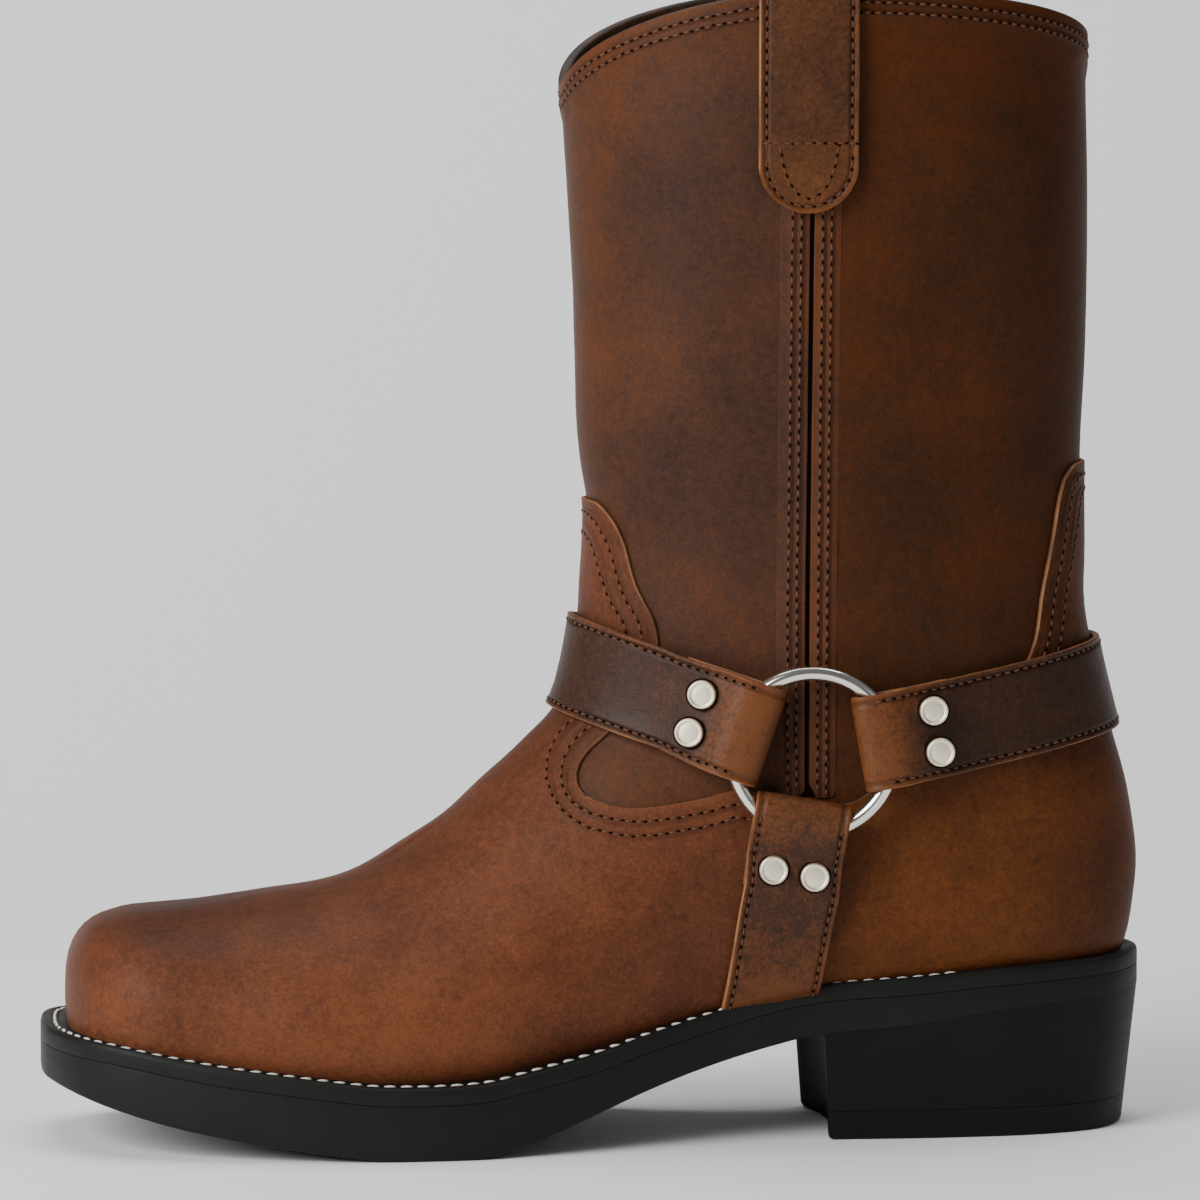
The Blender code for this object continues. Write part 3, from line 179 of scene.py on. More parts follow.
SECTIONS = [
    Section(0.027, 0.27, 0.0, 0.027, 0.0, 1.0, 0.790, 0.0, 0.085, 0.58, 2.7, 2.5, 0.00),
    Section(0.081, 0.35, 0.0, 0.081, 0.0, 1.0, 0.835, 0.0, 0.027, 0.60, 2.6, 2.5, 0.04),
    Section(0.139, 0.40, 0.0, 0.139, 0.0, 1.0, 0.880, 0.0, 0.006, 0.62, 2.4, 2.5, 0.06),
    Section(0.203, 0.46, 0.0, 0.203, 0.0, 1.0, 0.943, 0.0, -0.017, 0.64, 2.2, 2.5, 0.09),
    Section(0.255, 0.512, 0.0, 0.262, 0.0, 1.0, 0.985, 0.0, -0.027, 0.65, 2.1, 2.5, 0.12),
    Section(0.310, 0.598, 0.0, 0.332, 0.0, 1.0, 0.994, 0.0, -0.038, 0.64, 2.0, 2.5, 0.14),
    Section(0.368, 0.725, 0.0, 0.422, 0.0, 1.0, 0.940, 0.0, -0.063, 0.62, 1.9, 2.5, 0.14),
    Section(0.4145, 0.845, 0.0, 0.516, 0.0, 1.0, 0.868, 0.0, -0.067, 0.60, 1.9, 2.5, 0.12),
    Section(0.445, 0.932, 0.0, 0.622, 0.0, 1.0, 0.832, 0.0, -0.063, 0.57, 1.9, 2.4, 0.08),
    Section(0.4645, 1.0, 0.000, 0.742, 0.0, 1.0, 0.820, 0.0, -0.046, 0.54, 2.0, 2.4, 0.04),
    Section(0.4775, 1.0, 0.042, 0.871, 0.0, 1.0, 0.0, 0.780, -0.030, 0.51, 2.0, 2.4, 0.0),
    Section(0.4855, 1.0, 0.087, 0.966, 0.0, 0.5, 0.0, 0.784, -0.020, 0.50, 2.1, 2.35, 0.0),
    Section(0.4903, 1.0, 0.132, 0.9913, 0.076, 0.0, 0.0, 0.796, -0.013, 0.50, 2.1, 2.3, 0.0),
    Section(0.4923, 1.0, 0.182, 0.9858, 0.157, 0.0, 0.0, 0.804, -0.008, 0.50, 2.15, 2.25, 0.0),
    Section(0.4945, 1.0, 0.232, 0.9677, 0.239, 0.0, 0.0, 0.812, 0.0, 0.51, 2.15, 2.2, 0.0),
    Section(0.4950, 1.0, 0.288, 0.9490, 0.332, 0.0, 0.0, 0.826, 0.0, 0.52, 2.15, 2.2, 0.0),
    Section(0.4890, 1.0, 0.348, 0.9439, 0.428, 0.0, 0.0, 0.846, 0.0, 0.52, 2.15, 2.15, 0.0),
    Section(0.4852, 1.0, 0.413, 0.9432, 0.528, 0.0, 0.0, 0.870, 0.0, 0.52, 2.15, 2.15, 0.0),
    Section(0.4839, 1.0, 0.498, 0.9465, 0.620, 0.0, 0.0, 0.900, 0.0, 0.52, 2.15, 2.15, 0.0),
    Section(0.4806, 1.0, 0.612, 0.9477, 0.713, 0.0, 0.0, 0.936, 0.0, 0.52, 2.15, 2.15, 0.0),
    Section(0.4768, 1.0, 0.722, 0.9474, 0.794, 0.0, 0.0, 0.966, 0.0, 0.52, 2.15, 2.15, 0.0),
    Section(0.4729, 1.0, 0.838, 0.9460, 0.880, 0.0, 0.0, 0.990, 0.0, 0.52, 2.15, 2.15, 0.0),
    Section(0.4690, 1.0, 0.962, 0.9452, 0.972, 0.0, 0.0, 1.000, 0.0, 0.52, 2.15, 2.15, 0.0),
    Section(0.4665, 1.0, 1.088, 0.9450, 1.065, 0.0, 0.0, 1.000, 0.0, 0.52, 2.15, 2.15, 0.0),
]


class Crease(NamedTuple):
    """One soft trough or ridge of the leather, drawn in the side view.

    It runs from (x, z) to (x_end, z_end). depth is positive for a ridge and negative for
    a trough, and sides says which half of the boot has it: -1, 1, or 0 for both.
    """

    x: float
    z: float
    x_end: float
    z_end: float
    width: float
    depth: float
    sides: int


CREASES = [
    Crease(-0.018, 0.121, 0.020, 0.113, 0.0090, -0.0009, 0),
    Crease(-0.034, 0.098, -0.012, 0.084, 0.0110, 0.0007, 0),
    Crease(-0.072, 0.072, -0.055, 0.048, 0.0120, -0.0007, 0),
    Crease(-0.092, 0.066, -0.078, 0.040, 0.0100, 0.0005, -1),
    Crease(-0.054, 0.080, -0.034, 0.055, 0.0110, 0.0006, 1),
    Crease(0.142, 0.150, 0.110, 0.146, 0.0100, -0.0008, 0),
    Crease(0.146, 0.102, 0.118, 0.092, 0.0130, 0.0006, -1),
    Crease(0.020, 0.200, 0.030, 0.285, 0.0160, 0.0009, -1),
    Crease(0.005, 0.230, 0.008, 0.270, 0.0120, -0.0008, 0),
    Crease(0.098, 0.165, 0.090, 0.250, 0.0180, -0.0009, -1),
    Crease(0.118, 0.215, 0.122, 0.280, 0.0140, 0.0008, 0),
    Crease(0.030, 0.150, 0.018, 0.190, 0.0140, -0.0007, 1),
]


def ease(x: float, start: float, end: float) -> float:
    """Smooth step from 0 at start to 1 at end."""
    t = min(max((x - start) / (end - start), 0.0), 1.0)
    return t * t * (3 - 2 * t)


def ease_all(x: np.ndarray, start: float, end: float) -> np.ndarray:
    """Smooth step of every value, from 0 at start to 1 at end."""
    t = np.clip((x - start) / (end - start), 0.0, 1.0)
    return t * t * (3 - 2 * t)


def spline_between(rows: np.ndarray, steps: int, closed: bool = False) -> np.ndarray:
    """Smooth curve through rows of points, with steps places for each stretch.

    Args:
        rows: points or whole rows of points, one after another.
        steps: how many places each stretch gets.
        closed: whether the last row is joined to the first.

    Returns:
        The finer rows.
    """
    count = len(rows)
    fine = []
    for i in range(count if closed else count - 1):
        if closed:
            a, b, c, d = (rows[(i + k) % count] for k in (-1, 0, 1, 2))
        else:
            a, b, c, d = (rows[min(max(i + k, 0), count - 1)] for k in (-1, 0, 1, 2))
        for k in range(steps):
            t = k / steps
            fine.append(0.5 * (2 * b + (c - a) * t + (2 * a - 5 * b + 4 * c - d) * t**2
                               + (3 * b - a - 3 * c + d) * t**3))
    if not closed:
        fine.append(rows[-1])
    return np.array(fine)


class Side(Enum):
    """Side of the boot, with its direction along Y."""

    LATERAL = -1.0
    MEDIAL = 1.0

    @property
    def word(self) -> str:
        """Side's name in lower case."""
        return self.name.lower()


@dataclass
class Last:
    """The form that the whole boot is worked out from, with its driving sizes."""

    sole_length: float = 0.310
    sole_width: float = 0.109
    sole_thickness: float = 0.0185
    toe_spring: float = 0.0195
    heel_height: float = 0.0305
    ball_width: float = 0.0950
    instep_height: float = 0.0920
    shaft_height: float = 0.2700
    shaft_width: float = 0.1000
    collar_dip_front: float = 0.0260
    collar_dip_back: float = 0.0130
    toe_reach: float = 0.0360
    toe_drop: float = 0.0118
    toe_pole_height: float = 0.0080
    toe_power: float = 3.0
    tuck: float = 0.0120
    around: int = 168
    row_steps: int = 6
    toe_rows: int = 16
    points: np.ndarray = field(init=False)
    normals: np.ndarray = field(init=False)
    tree: BVHTree = field(init=False)

    def __post_init__(self) -> None:
        """Work out the form's grid, its normals and its search tree."""
        self.edge = self._plan_edge()
        self.seat_z = self.sole_top(self.at(0.86))
        self.collar_z = self.seat_z + self.shaft_height
        self.seam_x = self.at(0.678)
        self.axis_x = (self.at(SECTIONS[-2].back_along) + self.at(SECTIONS[-2].front_along)) / 2
        grid = self._grid()
        self.points = grid + self._grid_normals(grid) * self._relief(grid)[..., None]
        self.normals = self._grid_normals(self.points)
        self.tree = self._tree(self.points)

    def at(self, share: float) -> float:
        """X of a share of the sole's length, from toe to heel."""
        return (share - 0.5) * self.sole_length

    @staticmethod
    def _smooth(x: float, xs: list[float], ys: list[float]) -> float:
        """Value of a smooth curve through the points, flat beyond its ends."""
        if x <= xs[0]:
            return ys[0]
        if x >= xs[-1]:
            return ys[-1]
        i = max(k for k in range(len(xs) - 1) if xs[k] <= x)

        def slope(k: int) -> float:
            """Slope of the curve at point k."""
            low, high = max(k - 1, 0), min(k + 1, len(xs) - 1)
            return (ys[high] - ys[low]) / (xs[high] - xs[low])

        span = xs[i + 1] - xs[i]
        t = (x - xs[i]) / span
        start = ys[i] * (2 * t**3 - 3 * t**2 + 1) + slope(i) * span * (t**3 - 2 * t**2 + t)
        return start + ys[i + 1] * (3 * t**2 - 2 * t**3) + slope(i + 1) * span * (t**3 - t**2)

    def sole_bottom(self, x: float) -> float:
        """Height of the outsole's underside."""
        xs = [self.at(line.along) for line in SOLE_LINES]
        ys = [line.toe * self.toe_spring + line.heel * self.heel_height for line in SOLE_LINES]
        return max(self._smooth(x, xs, ys), 0.0)

    def sole_top(self, x: float) -> float:
        """Height of the welt's top, on which the upper stands."""
        xs = [self.at(line.along) for line in SOLE_LINES]
        ys = [line.toe * self.toe_spring + line.heel * self.heel_height
              + line.thick * self.sole_thickness for line in SOLE_LINES]
        return self._smooth(x, xs, ys)

    def _plan_edge(self) -> np.ndarray:
        """Closed outline of the outsole in plan, finely divided."""
        corners = np.array([(self.at(p.along), p.across * self.sole_width / 2) for p in PLAN])
        return spline_between(corners, 14, closed=True)

    def outline(self, inset: float, count: int, start: float | None = None) -> np.ndarray:
        """Sole outline moved inwards, with its two sides at the same places along.

        Args:
            inset: how far the outline moves in.
            count: stations from end to end.
            start: cuts off what lies before it, if given.

        Returns:
            Points (x, y): the lateral side from toe to heel, then the medial side back.
        """
        edge = self.edge
        along = np.roll(edge, -2, axis=0) - np.roll(edge, 2, axis=0)
        along /= np.linalg.norm(along, axis=1)[:, None]
        moved = edge + np.stack((-along[:, 1], along[:, 0]), axis=1) * inset
        toe, heel = int(moved[:, 0].argmin()), int(moved[:, 0].argmax())
        total = len(moved)
        lateral = np.array([moved[(toe + k) % total] for k in range((heel - toe) % total + 1)])
        medial = np.array([moved[(heel + k) % total] for k in range((toe - heel) % total + 1)])
        medial = medial[::-1]
        turn = np.linspace(0.0, math.pi, count + 1)
        even = np.linspace(0.0, 1.0, count + 1)
        margin = 0.00005
        last = moved[heel, 0] - margin
        if start is None:
            first = moved[toe, 0] + margin
            share = 0.75 * (1 - np.cos(turn)) / 2 + 0.25 * even
        else:
            first = start
            share = 0.75 * np.sin(turn / 2) + 0.25 * even
        xs = first + (last - first) * share
        near = np.interp(xs, np.maximum.accumulate(lateral[:, 0]), lateral[:, 1])
        far = np.interp(xs, np.maximum.accumulate(medial[:, 0]), medial[:, 1])
        return np.concatenate((np.stack((xs, near), axis=1), np.stack((xs, far), axis=1)[::-1]))

    def _section(self, front: tuple[float, float], back: tuple[float, float], half: float,
                 section: Section) -> np.ndarray:
        """Closed loop of one section, from its front edge down the lateral side and back up.

        Args:
            front: x and z of its front or top edge.
            back: x and z of its back or bottom edge.
            half: half its width.
            section: its shape.

        Returns:
            The loop's points.
        """
        angle = np.linspace(0.0, 2 * math.pi, self.around, endpoint=False)
        down, out = np.cos(angle), np.sin(angle)
        power = np.where(down > 0, section.front_power, section.back_power)
        reach = np.sign(down) * np.abs(down) ** (2 / power)
        span = np.where(down > 0, section.widest, 1 - section.widest)
        t = section.widest - reach * span
        across = -np.sign(out) * np.abs(out) ** (2 / power) * half
        shift = section.centre + section.ridge * np.maximum(reach, 0.0) ** 2
        return np.stack((front[0] + (back[0] - front[0]) * t,
                         shift * self.ball_width / 2 + across,
                         front[1] + (back[1] - front[1]) * t), axis=1)

    def _grid(self) -> np.ndarray:
        """Rows of the form, from the toe to above the collar."""
        first, second, third = SECTIONS[:3]
        start = self.at(first.front_along)
        pole = self.sole_top(start) + self.toe_pole_height
        toe = []
        for k in range(self.toe_rows):
            along = self.toe_reach * (1 - math.cos((k + 0.35) / (self.toe_rows - 0.65)
                                                   * math.pi / 2))
            share = along / (self.at(second.front_along) - start)
            if share > 1.0:
                pair, share = (second, third), (share - 1.0) * 0.93
            else:
                pair = (first, second)
            section = Section(*(p + (q - p) * share for p, q in zip(*pair)))
            power = self.toe_power
            high = (1 - max(1 - along / self.toe_drop, 0.0) ** power) ** (1 / power)
            wide = (1 - max(1 - along / self.toe_reach, 0.0) ** power) ** (1 / power)
            x = start + along
            top = self.sole_top(x) + section.instep * self.instep_height
            low = self.sole_top(x) - self.tuck
            toe.append(self._section((x, pole + (top - pole) * high),
                                     (x, pole + (low - pole) * high),
                                     section.ball * self.ball_width / 2 * wide, section))
        throat = self.sole_top(self.at(SECTIONS[9].front_along)) + self.instep_height
        rows = [toe[-1]]
        for s in SECTIONS[3:]:
            x, x_back = self.at(s.front_along), self.at(s.back_along)
            if s.instep < 1.0:
                front = (x, self.sole_top(x) + s.instep * self.instep_height)
            else:
                front = (x, throat + s.rise * (self.collar_z - throat))
            if s.tuck > 0.0:
                back = (x_back, self.sole_top(x_back) - s.tuck * self.tuck)
            else:
                back = (x_back, self.seat_z + s.back_rise * self.shaft_height)
            half = s.ball * self.ball_width / 2 + s.shaft * self.shaft_width / 2
            rows.append(self._section(front, back, half, s))
        return np.concatenate((toe[:-1], spline_between(np.array(rows), self.row_steps)))

    @staticmethod
    def _grid_normals(grid: np.ndarray) -> np.ndarray:
        """Outward direction at each point of a grid."""
        along = np.gradient(grid, axis=0)
        around = np.roll(grid, -1, axis=1) - np.roll(grid, 1, axis=1)
        normals = np.cross(around, along)
        return normals / np.linalg.norm(normals, axis=2)[..., None]

    @staticmethod
    def _relief(grid: np.ndarray) -> np.ndarray:
        """Height of the soft creases at each point of the grid."""
        height = np.zeros(grid.shape[:2])
        for c in CREASES:
            start = np.array((c.x, c.z))
            run = np.array((c.x_end, c.z_end)) - start
            length = np.linalg.norm(run)
            away = grid[..., (0, 2)] - start
            t = (away @ run) / length**2
            off = (away[..., 0] * run[1] - away[..., 1] * run[0]) / length
            fade = np.exp(-(np.maximum(np.abs(t - 0.5) - 0.35, 0.0) / 0.22) ** 2)
            side = np.ones_like(off) if c.sides == 0 else (grid[..., 1] * c.sides > 0) * 1.0
            height += c.depth * np.exp(-(off / c.width) ** 2) * fade * side
        return height

    @staticmethod
    def _tree(grid: np.ndarray) -> BVHTree:
        """Search tree of the grid's surface."""
        rows, around = grid.shape[:2]
        faces = [(i * around + j, (i + 1) * around + j, (i + 1) * around + (j + 1) % around,
                  i * around + (j + 1) % around) for i in range(rows - 1) for j in range(around)]
        return BVHTree.FromPolygons([Vector(p) for p in grid.reshape(-1, 3)], faces)

    def hit(self, origin: Vector, way: Vector) -> Vector:
        """Where a line out from inside the boot leaves the form."""
        place = self.tree.ray_cast(origin, way)[0]
        if place is None:
            raise ValueError(f"no form at {tuple(origin)}")
        return place

    def side_spot(self, x: float, z: float, side: Side) -> Vector:
        """Point of the form's side, straight out from the middle."""
        return self.hit(Vector((x, 0, z)), Vector((0, side.value, 0)))

    def collar_height(self, points: np.ndarray) -> np.ndarray:
        """Height of the collar's rim in each point's direction from the shaft's axis."""
        long_half = (self.at(SECTIONS[-2].back_along) - self.at(SECTIONS[-2].front_along)) / 2
        ahead = -(points[..., 0] - self.axis_x) / long_half
        beside = np.abs(points[..., 1]) / (self.shaft_width / 2)
        share = beside / np.maximum(np.hypot(ahead, beside), 1e-6)
        soft = np.sqrt(share**2 + 0.012) - 0.012**0.5
        soft /= np.sqrt(1.012) - 0.012**0.5
        front = self.collar_z - self.collar_dip_front * (1 - soft**1.05)
        back = self.collar_z - self.collar_dip_back * (1 - soft**1.05)
        return np.where(ahead > 0, front, back)


def outline_distance(points: np.ndarray, outline: np.ndarray) -> np.ndarray:
    """Signed distance in the side view from points to a closed outline, negative inside."""
    spots = points[..., (0, 2)].reshape(-1, 2)
    best = np.full(len(spots), 9.0)
    inside = np.zeros(len(spots), bool)
    for p, q in zip(outline, np.roll(outline, -1, axis=0)):
        run = q - p
        t = np.clip(((spots - p) @ run) / max(float(run @ run), 1e-12), 0.0, 1.0)
        best = np.minimum(best, np.linalg.norm(spots - p - t[:, None] * run, axis=1))
        crosses = (p[1] > spots[:, 1]) != (q[1] > spots[:, 1])
        rise = q[1] - p[1] if abs(q[1] - p[1]) > 1e-12 else 1e-12
        inside ^= crosses & (spots[:, 0] < p[0] + (spots[:, 1] - p[1]) / rise * run[0])
    return np.where(inside, -best, best).reshape(points.shape[:-1])


def new_object(name: str, data: object) -> Object:
    """New object in the scene, with its mesh, lamp or camera."""
    piece = bpy.data.objects.new(name, data)
    bpy.context.collection.objects.link(piece)
    return piece


def mesh_object(name: str, points: np.ndarray, faces: list[tuple[int, ...]]) -> Object:
    """New object with a smooth-shaded mesh.

    Args:
        name: the piece's name.
        points: its vertices.
        faces: its faces.

    Returns:
        The object, linked to the scene.
    """
    mesh = bpy.data.meshes.new(name)
    mesh.from_pydata(np.asarray(points).reshape(-1, 3).tolist(), [], faces)
    mesh.shade_smooth()
    return new_object(name, mesh)


def face_outwards(piece: Object) -> None:
    """Turn a closed mesh's faces outwards."""
    work = bmesh.new()
    work.from_mesh(piece.data)
    bmesh.ops.recalc_face_normals(work, faces=work.faces)
    work.to_mesh(piece.data)
    work.free()


def sharpen(piece: Object, degrees: float) -> None:
    """Keep edges sharper than this angle crisp."""
    piece.data.set_sharp_from_angle(angle=math.radians(degrees))


def store(piece: Object, name: str, values: np.ndarray) -> None:
    """Keep one number for each vertex, for the finishes to read."""
    attribute = piece.data.attributes.new(name, "FLOAT", "POINT")
    attribute.data.foreach_set("value", np.asarray(values, np.float32).ravel())


def set_edge(piece: Object, distance: np.ndarray) -> None:
    """Set how far each vertex of a sheet lies from the edge that its rows follow."""
    values = (np.maximum(distance, 0.0) / MM).astype(np.float32)
    piece.data.attributes["edge_mm"].data.foreach_set("value", values)


def dress(piece: Object, *finishes: Material) -> None:
    """Give a piece its finishes, one for each slot."""
    for finish in finishes:
        piece.data.materials.append(finish)


def vertices_of(piece: Object) -> np.ndarray:
    """Places of a mesh's vertices."""
    places = np.zeros(len(piece.data.vertices) * 3, np.float32)
    piece.data.vertices.foreach_get("co", places)
    return places.reshape(-1, 3).astype(float)


def loops_object(name: str, loops: list[np.ndarray], closed: bool,
                 paired: bool = False) -> Object:
    """Object from loops of equal count, capped at both ends or joined last to first.

    Args:
        name: the piece's name.
        loops: rows of points.
        closed: joins the last loop to the first.
        paired: caps are strips from side to side, for a loop out and back.

    Returns:
        The object, its faces pointing out.
    """
    count = len(loops[0])
    pairs = len(loops) if closed else len(loops) - 1
    faces = []
    for i in range(pairs):
        after = (i + 1) % len(loops)
        faces += [(i * count + k, i * count + (k + 1) % count,
                   after * count + (k + 1) % count, after * count + k) for k in range(count)]
    if not closed:
        for base in (0, (len(loops) - 1) * count):
            if paired:
                faces += [(base + k, base + k + 1, base + count - 2 - k, base + count - 1 - k)
                          for k in range(count // 2 - 1)]
            else:
                faces.append(tuple(base + k for k in range(count)))
    piece = mesh_object(name, np.concatenate(loops), faces)
    face_outwards(piece)
    return piece


class Sheet(NamedTuple):
    """What a sheet of leather on the form is cut from.

    level is the signed distance to its edge at each point of the grid, negative inside.
    base and top are the heights of its two faces over the form.
    """

    level: np.ndarray
    base: np.ndarray
    top: np.ndarray


def cut_sheet(name: str, last: Last, sheet: Sheet, rounding: float) -> Object:
    """Closed sheet with a clean, rounded edge along level 0.

    Args:
        name: the piece's name.
        last: the form that it lies on.
        sheet: where it ends and how thick it is.
        rounding: radius of its edge.

    Returns:
        The object. Slot 0 is its outside, slot 1 its cut edge, slot 2 its inside.
    """
    rows, around = sheet.level.shape
    work = bmesh.new()
    level = work.verts.layers.float.new("level")
    thick = work.verts.layers.float.new("thick")
    out = work.verts.layers.float_vector.new("out")
    places = last.points + last.normals * sheet.top[..., None]
    verts: dict[tuple[int, int], bmesh.types.BMVert] = {}

    def vert(i: int, j: int) -> bmesh.types.BMVert:
        """Vertex at a point of the grid, made when it is first needed."""
        j %= around
        if (i, j) not in verts:
            v = work.verts.new(places[i, j])
            v[level] = sheet.level[i, j]
            v[thick] = sheet.top[i, j] - sheet.base[i, j]
            v[out] = last.normals[i, j]
            verts[i, j] = v
        return verts[i, j]

    low = sheet.level
    keep = (low[:-1] < 0) | (low[1:] < 0) | np.roll(low[:-1] < 0, -1, 1) | np.roll(low[1:] < 0, -1, 1)
    for i, j in np.argwhere(keep):
        work.faces.new((vert(i, j), vert(i + 1, j), vert(i + 1, j + 1), vert(i, j + 1)))
    if low[0].min() < 0:
        work.faces.new([vert(0, j) for j in range(around)])
    tiny = 1e-7
    for v in work.verts:
        if abs(v[level]) < tiny:
            v[level] = 0.0
    for edge in list(work.edges):
        a, b = edge.verts
        if a[level] * b[level] < 0:
            share = a[level] / (a[level] - b[level])
            mid_thick = a[thick] + (b[thick] - a[thick]) * share
            mid_out = (a[out] * (1 - share) + b[out] * share).normalized()
            _, new = bmesh.utils.edge_split(edge, a, share)
            new[level], new[thick], new[out] = 0.0, mid_thick, mid_out
    for face in list(work.faces):
        zero = [v for v in face.verts if v[level] == 0.0]
        if len(zero) == 2 and any(v[level] > 0 for v in face.verts):
            if not any(set(zero) == set(e.verts) for e in face.edges):
                bmesh.utils.face_split(face, zero[0], zero[1])
    spare = [f for f in work.faces if max(v[level] for v in f.verts) > 0
             or sum(v[level] for v in f.verts) == 0.0]
    bmesh.ops.delete(work, geom=spare, context="FACES")
    rim = [e for e in work.edges if len(e.link_faces) == 1]
    away: dict[bmesh.types.BMVert, Vector] = {}
    for edge in rim:
        middle = (edge.verts[0].co + edge.verts[1].co) / 2
        run = (edge.verts[1].co - edge.verts[0].co).normalized()
        off = middle - edge.link_faces[0].calc_center_median()
        off -= run * off.dot(run)
        for v in edge.verts:
            away[v] = away.get(v, Vector()) + off.normalized()
    top_faces = list(work.faces)
    under = {v: work.verts.new(v.co - v[out] * v[thick]) for f in top_faces for v in f.verts}
    for v, w in under.items():
        w[level], w[out] = v[level], v[out]
    for face in top_faces:
        twin = work.faces.new([under[v] for v in reversed(face.verts)])
        twin.material_index = INSIDE
    turns = [math.radians(k) for k in (30, 60, 90)]
    rings = [{v: v for v in away}]
    for turn in turns:
        ring = {}
        for v, off in away.items():
            off = (off - v[out] * off.dot(v[out])).normalized()
            r = min(rounding, v[thick] * 0.45)
            w = work.verts.new(v.co + off * r * math.sin(turn) - v[out] * r * (1 - math.cos(turn)))
            w[level], w[out] = v[level], v[out]
            ring[v] = w
        rings.append(ring)
    lowest = {}
    for v, off in away.items():
        off = (off - v[out] * off.dot(v[out])).normalized()
        r = min(rounding, v[thick] * 0.45)
        w = work.verts.new(v.co + off * r - v[out] * (v[thick] - r * 0.4))
        w[level], w[out] = v[level], v[out]
        lowest[v] = w
    rings.append(lowest)
    rings.append({v: under[v] for v in away})
    for edge in rim:
        face = edge.link_faces[0]
        a, b = edge.verts
        corners = list(face.verts)
        if corners[(corners.index(a) + 1) % len(corners)] == b:
            a, b = b, a
        for k in range(len(rings) - 1):
            strip = work.faces.new((rings[k][a], rings[k][b], rings[k + 1][b], rings[k + 1][a]))
            strip.material_index = OUTSIDE if k == 0 else CUT_EDGE
    for face in work.faces:
        face.smooth = True
    mesh = bpy.data.meshes.new(name)
    work.to_mesh(mesh)
    work.free()
    for spare_name in ("thick", "out"):
        mesh.attributes.remove(mesh.attributes[spare_name])
    piece = new_object(name, mesh)
    edge_level = np.zeros(len(mesh.vertices), np.float32)
    mesh.attributes["level"].data.foreach_get("value", edge_level)
    mesh.attributes.remove(mesh.attributes["level"])
    store(piece, "edge_mm", -edge_level / MM)
    return piece


class Run(NamedTuple):
    """A row of stitches: its places and the surface's direction at each."""

    places: np.ndarray
    out: np.ndarray


def level_runs(last: Last, level: np.ndarray, iso: float, height: np.ndarray,
               allowed: np.ndarray | None = None) -> list[Run]:
    """Lines on the form along which level has the value iso.

    Args:
        last: the form.
        level: the field, one value for each point of the grid.
        iso: value that the lines follow.
        height: how far over the form the lines lie.
        allowed: points of the grid where lines may run, all if left out.

    Returns:
        The lines, each in order.
    """
    places = last.points + last.normals * height[..., None]
    rows, around = level.shape
    value = level - iso
    value = np.where(value == 0.0, 1e-9, value)
    signs = value > 0
    mixed = ~((signs[:-1] == signs[1:]) & (signs[:-1] == np.roll(signs[:-1], -1, 1))
              & (signs[:-1] == np.roll(signs[1:], -1, 1)))
    if allowed is not None:
        mixed &= allowed[:-1] & allowed[1:]
    links: dict[tuple, list[tuple]] = {}

    def crossing(a: tuple[int, int], b: tuple[int, int]) -> tuple | None:
        """Edge of the grid between two points, if the line crosses it."""
        a, b = (a[0], a[1] % around), (b[0], b[1] % around)
        return (min(a, b), max(a, b)) if signs[a] != signs[b] else None

    for i, j in np.argwhere(mixed):
        i, j = int(i), int(j)
        ring = [(i, j), (i + 1, j), (i + 1, j + 1), (i, j + 1)]
        found = [c for c in (crossing(ring[k], ring[(k + 1) % 4]) for k in range(4)) if c]
        for p, q in zip(found[::2], found[1::2]):
            links.setdefault(p, []).append(q)
            links.setdefault(q, []).append(p)
    runs = []
    left = set(links)
    while left:
        start = next((k for k in sorted(left) if len(links[k]) == 1), min(left))
        chain = [start]
        left.discard(start)
        while True:
            onward = [k for k in links[chain[-1]] if k in left]
            if not onward:
                break
            chain.append(onward[0])
            left.discard(onward[0])
        if len(chain) > 3 and start in links[chain[-1]]:
            chain.append(start)
        if len(chain) < 4:
            continue
        spots, outs = [], []
        for a, b in chain:
            t = value[a] / (value[a] - value[b])
            spots.append(places[a] * (1 - t) + places[b] * t)
            outs.append(last.normals[a] * (1 - t) + last.normals[b] * t)
        runs.append(Run(np.array(spots), np.array(outs)))
    return runs


def srgb(code: str) -> tuple[float, float, float, float]:
    """Linear colour of an sRGB hex code."""
    parts = [int(code[k:k + 2], 16) / 255 for k in (1, 3, 5)]
    linear = [c / 12.92 if c <= 0.04045 else ((c + 0.055) / 1.055) ** 2.4 for c in parts]
    return (*linear, 1.0)


def add_node(tree: NodeTree, kind: str, settings: dict | None = None,
             links: dict | None = None) -> Node:
    """Add a node to a tree.

    Args:
        tree: the node tree.
        kind: the node's type name.
        settings: attributes to set, and inputs by name or number where the key isn't an attribute.
        links: input name or number to the socket that feeds it.

    Returns:
        The node.
    """
    node = tree.nodes.new(kind)
    for key, value in (settings or {}).items():
        if isinstance(key, str) and hasattr(node, key):
            setattr(node, key, value)
        else:
            node.inputs[key].default_value = value
    for key, socket in (links or {}).items():
        tree.links.new(socket, node.inputs[key])
    return node


def new_finish(name: str) -> tuple[Material, NodeTree, Node]:
    """New material with an empty tree and a shader joined to its output."""
    material = bpy.data.materials.new(name)
    material.use_nodes = True
    tree = material.node_tree
    tree.nodes.clear()
    shader = add_node(tree, "ShaderNodeBsdfPrincipled")
    add_node(tree, "ShaderNodeOutputMaterial", links={"Surface": shader.outputs["BSDF"]})
    return material, tree, shader


def scale_for(millimetres: float) -> float:
    """Texture scale on Object coordinates for features of this size."""
    return 1.0 / (millimetres * MM)


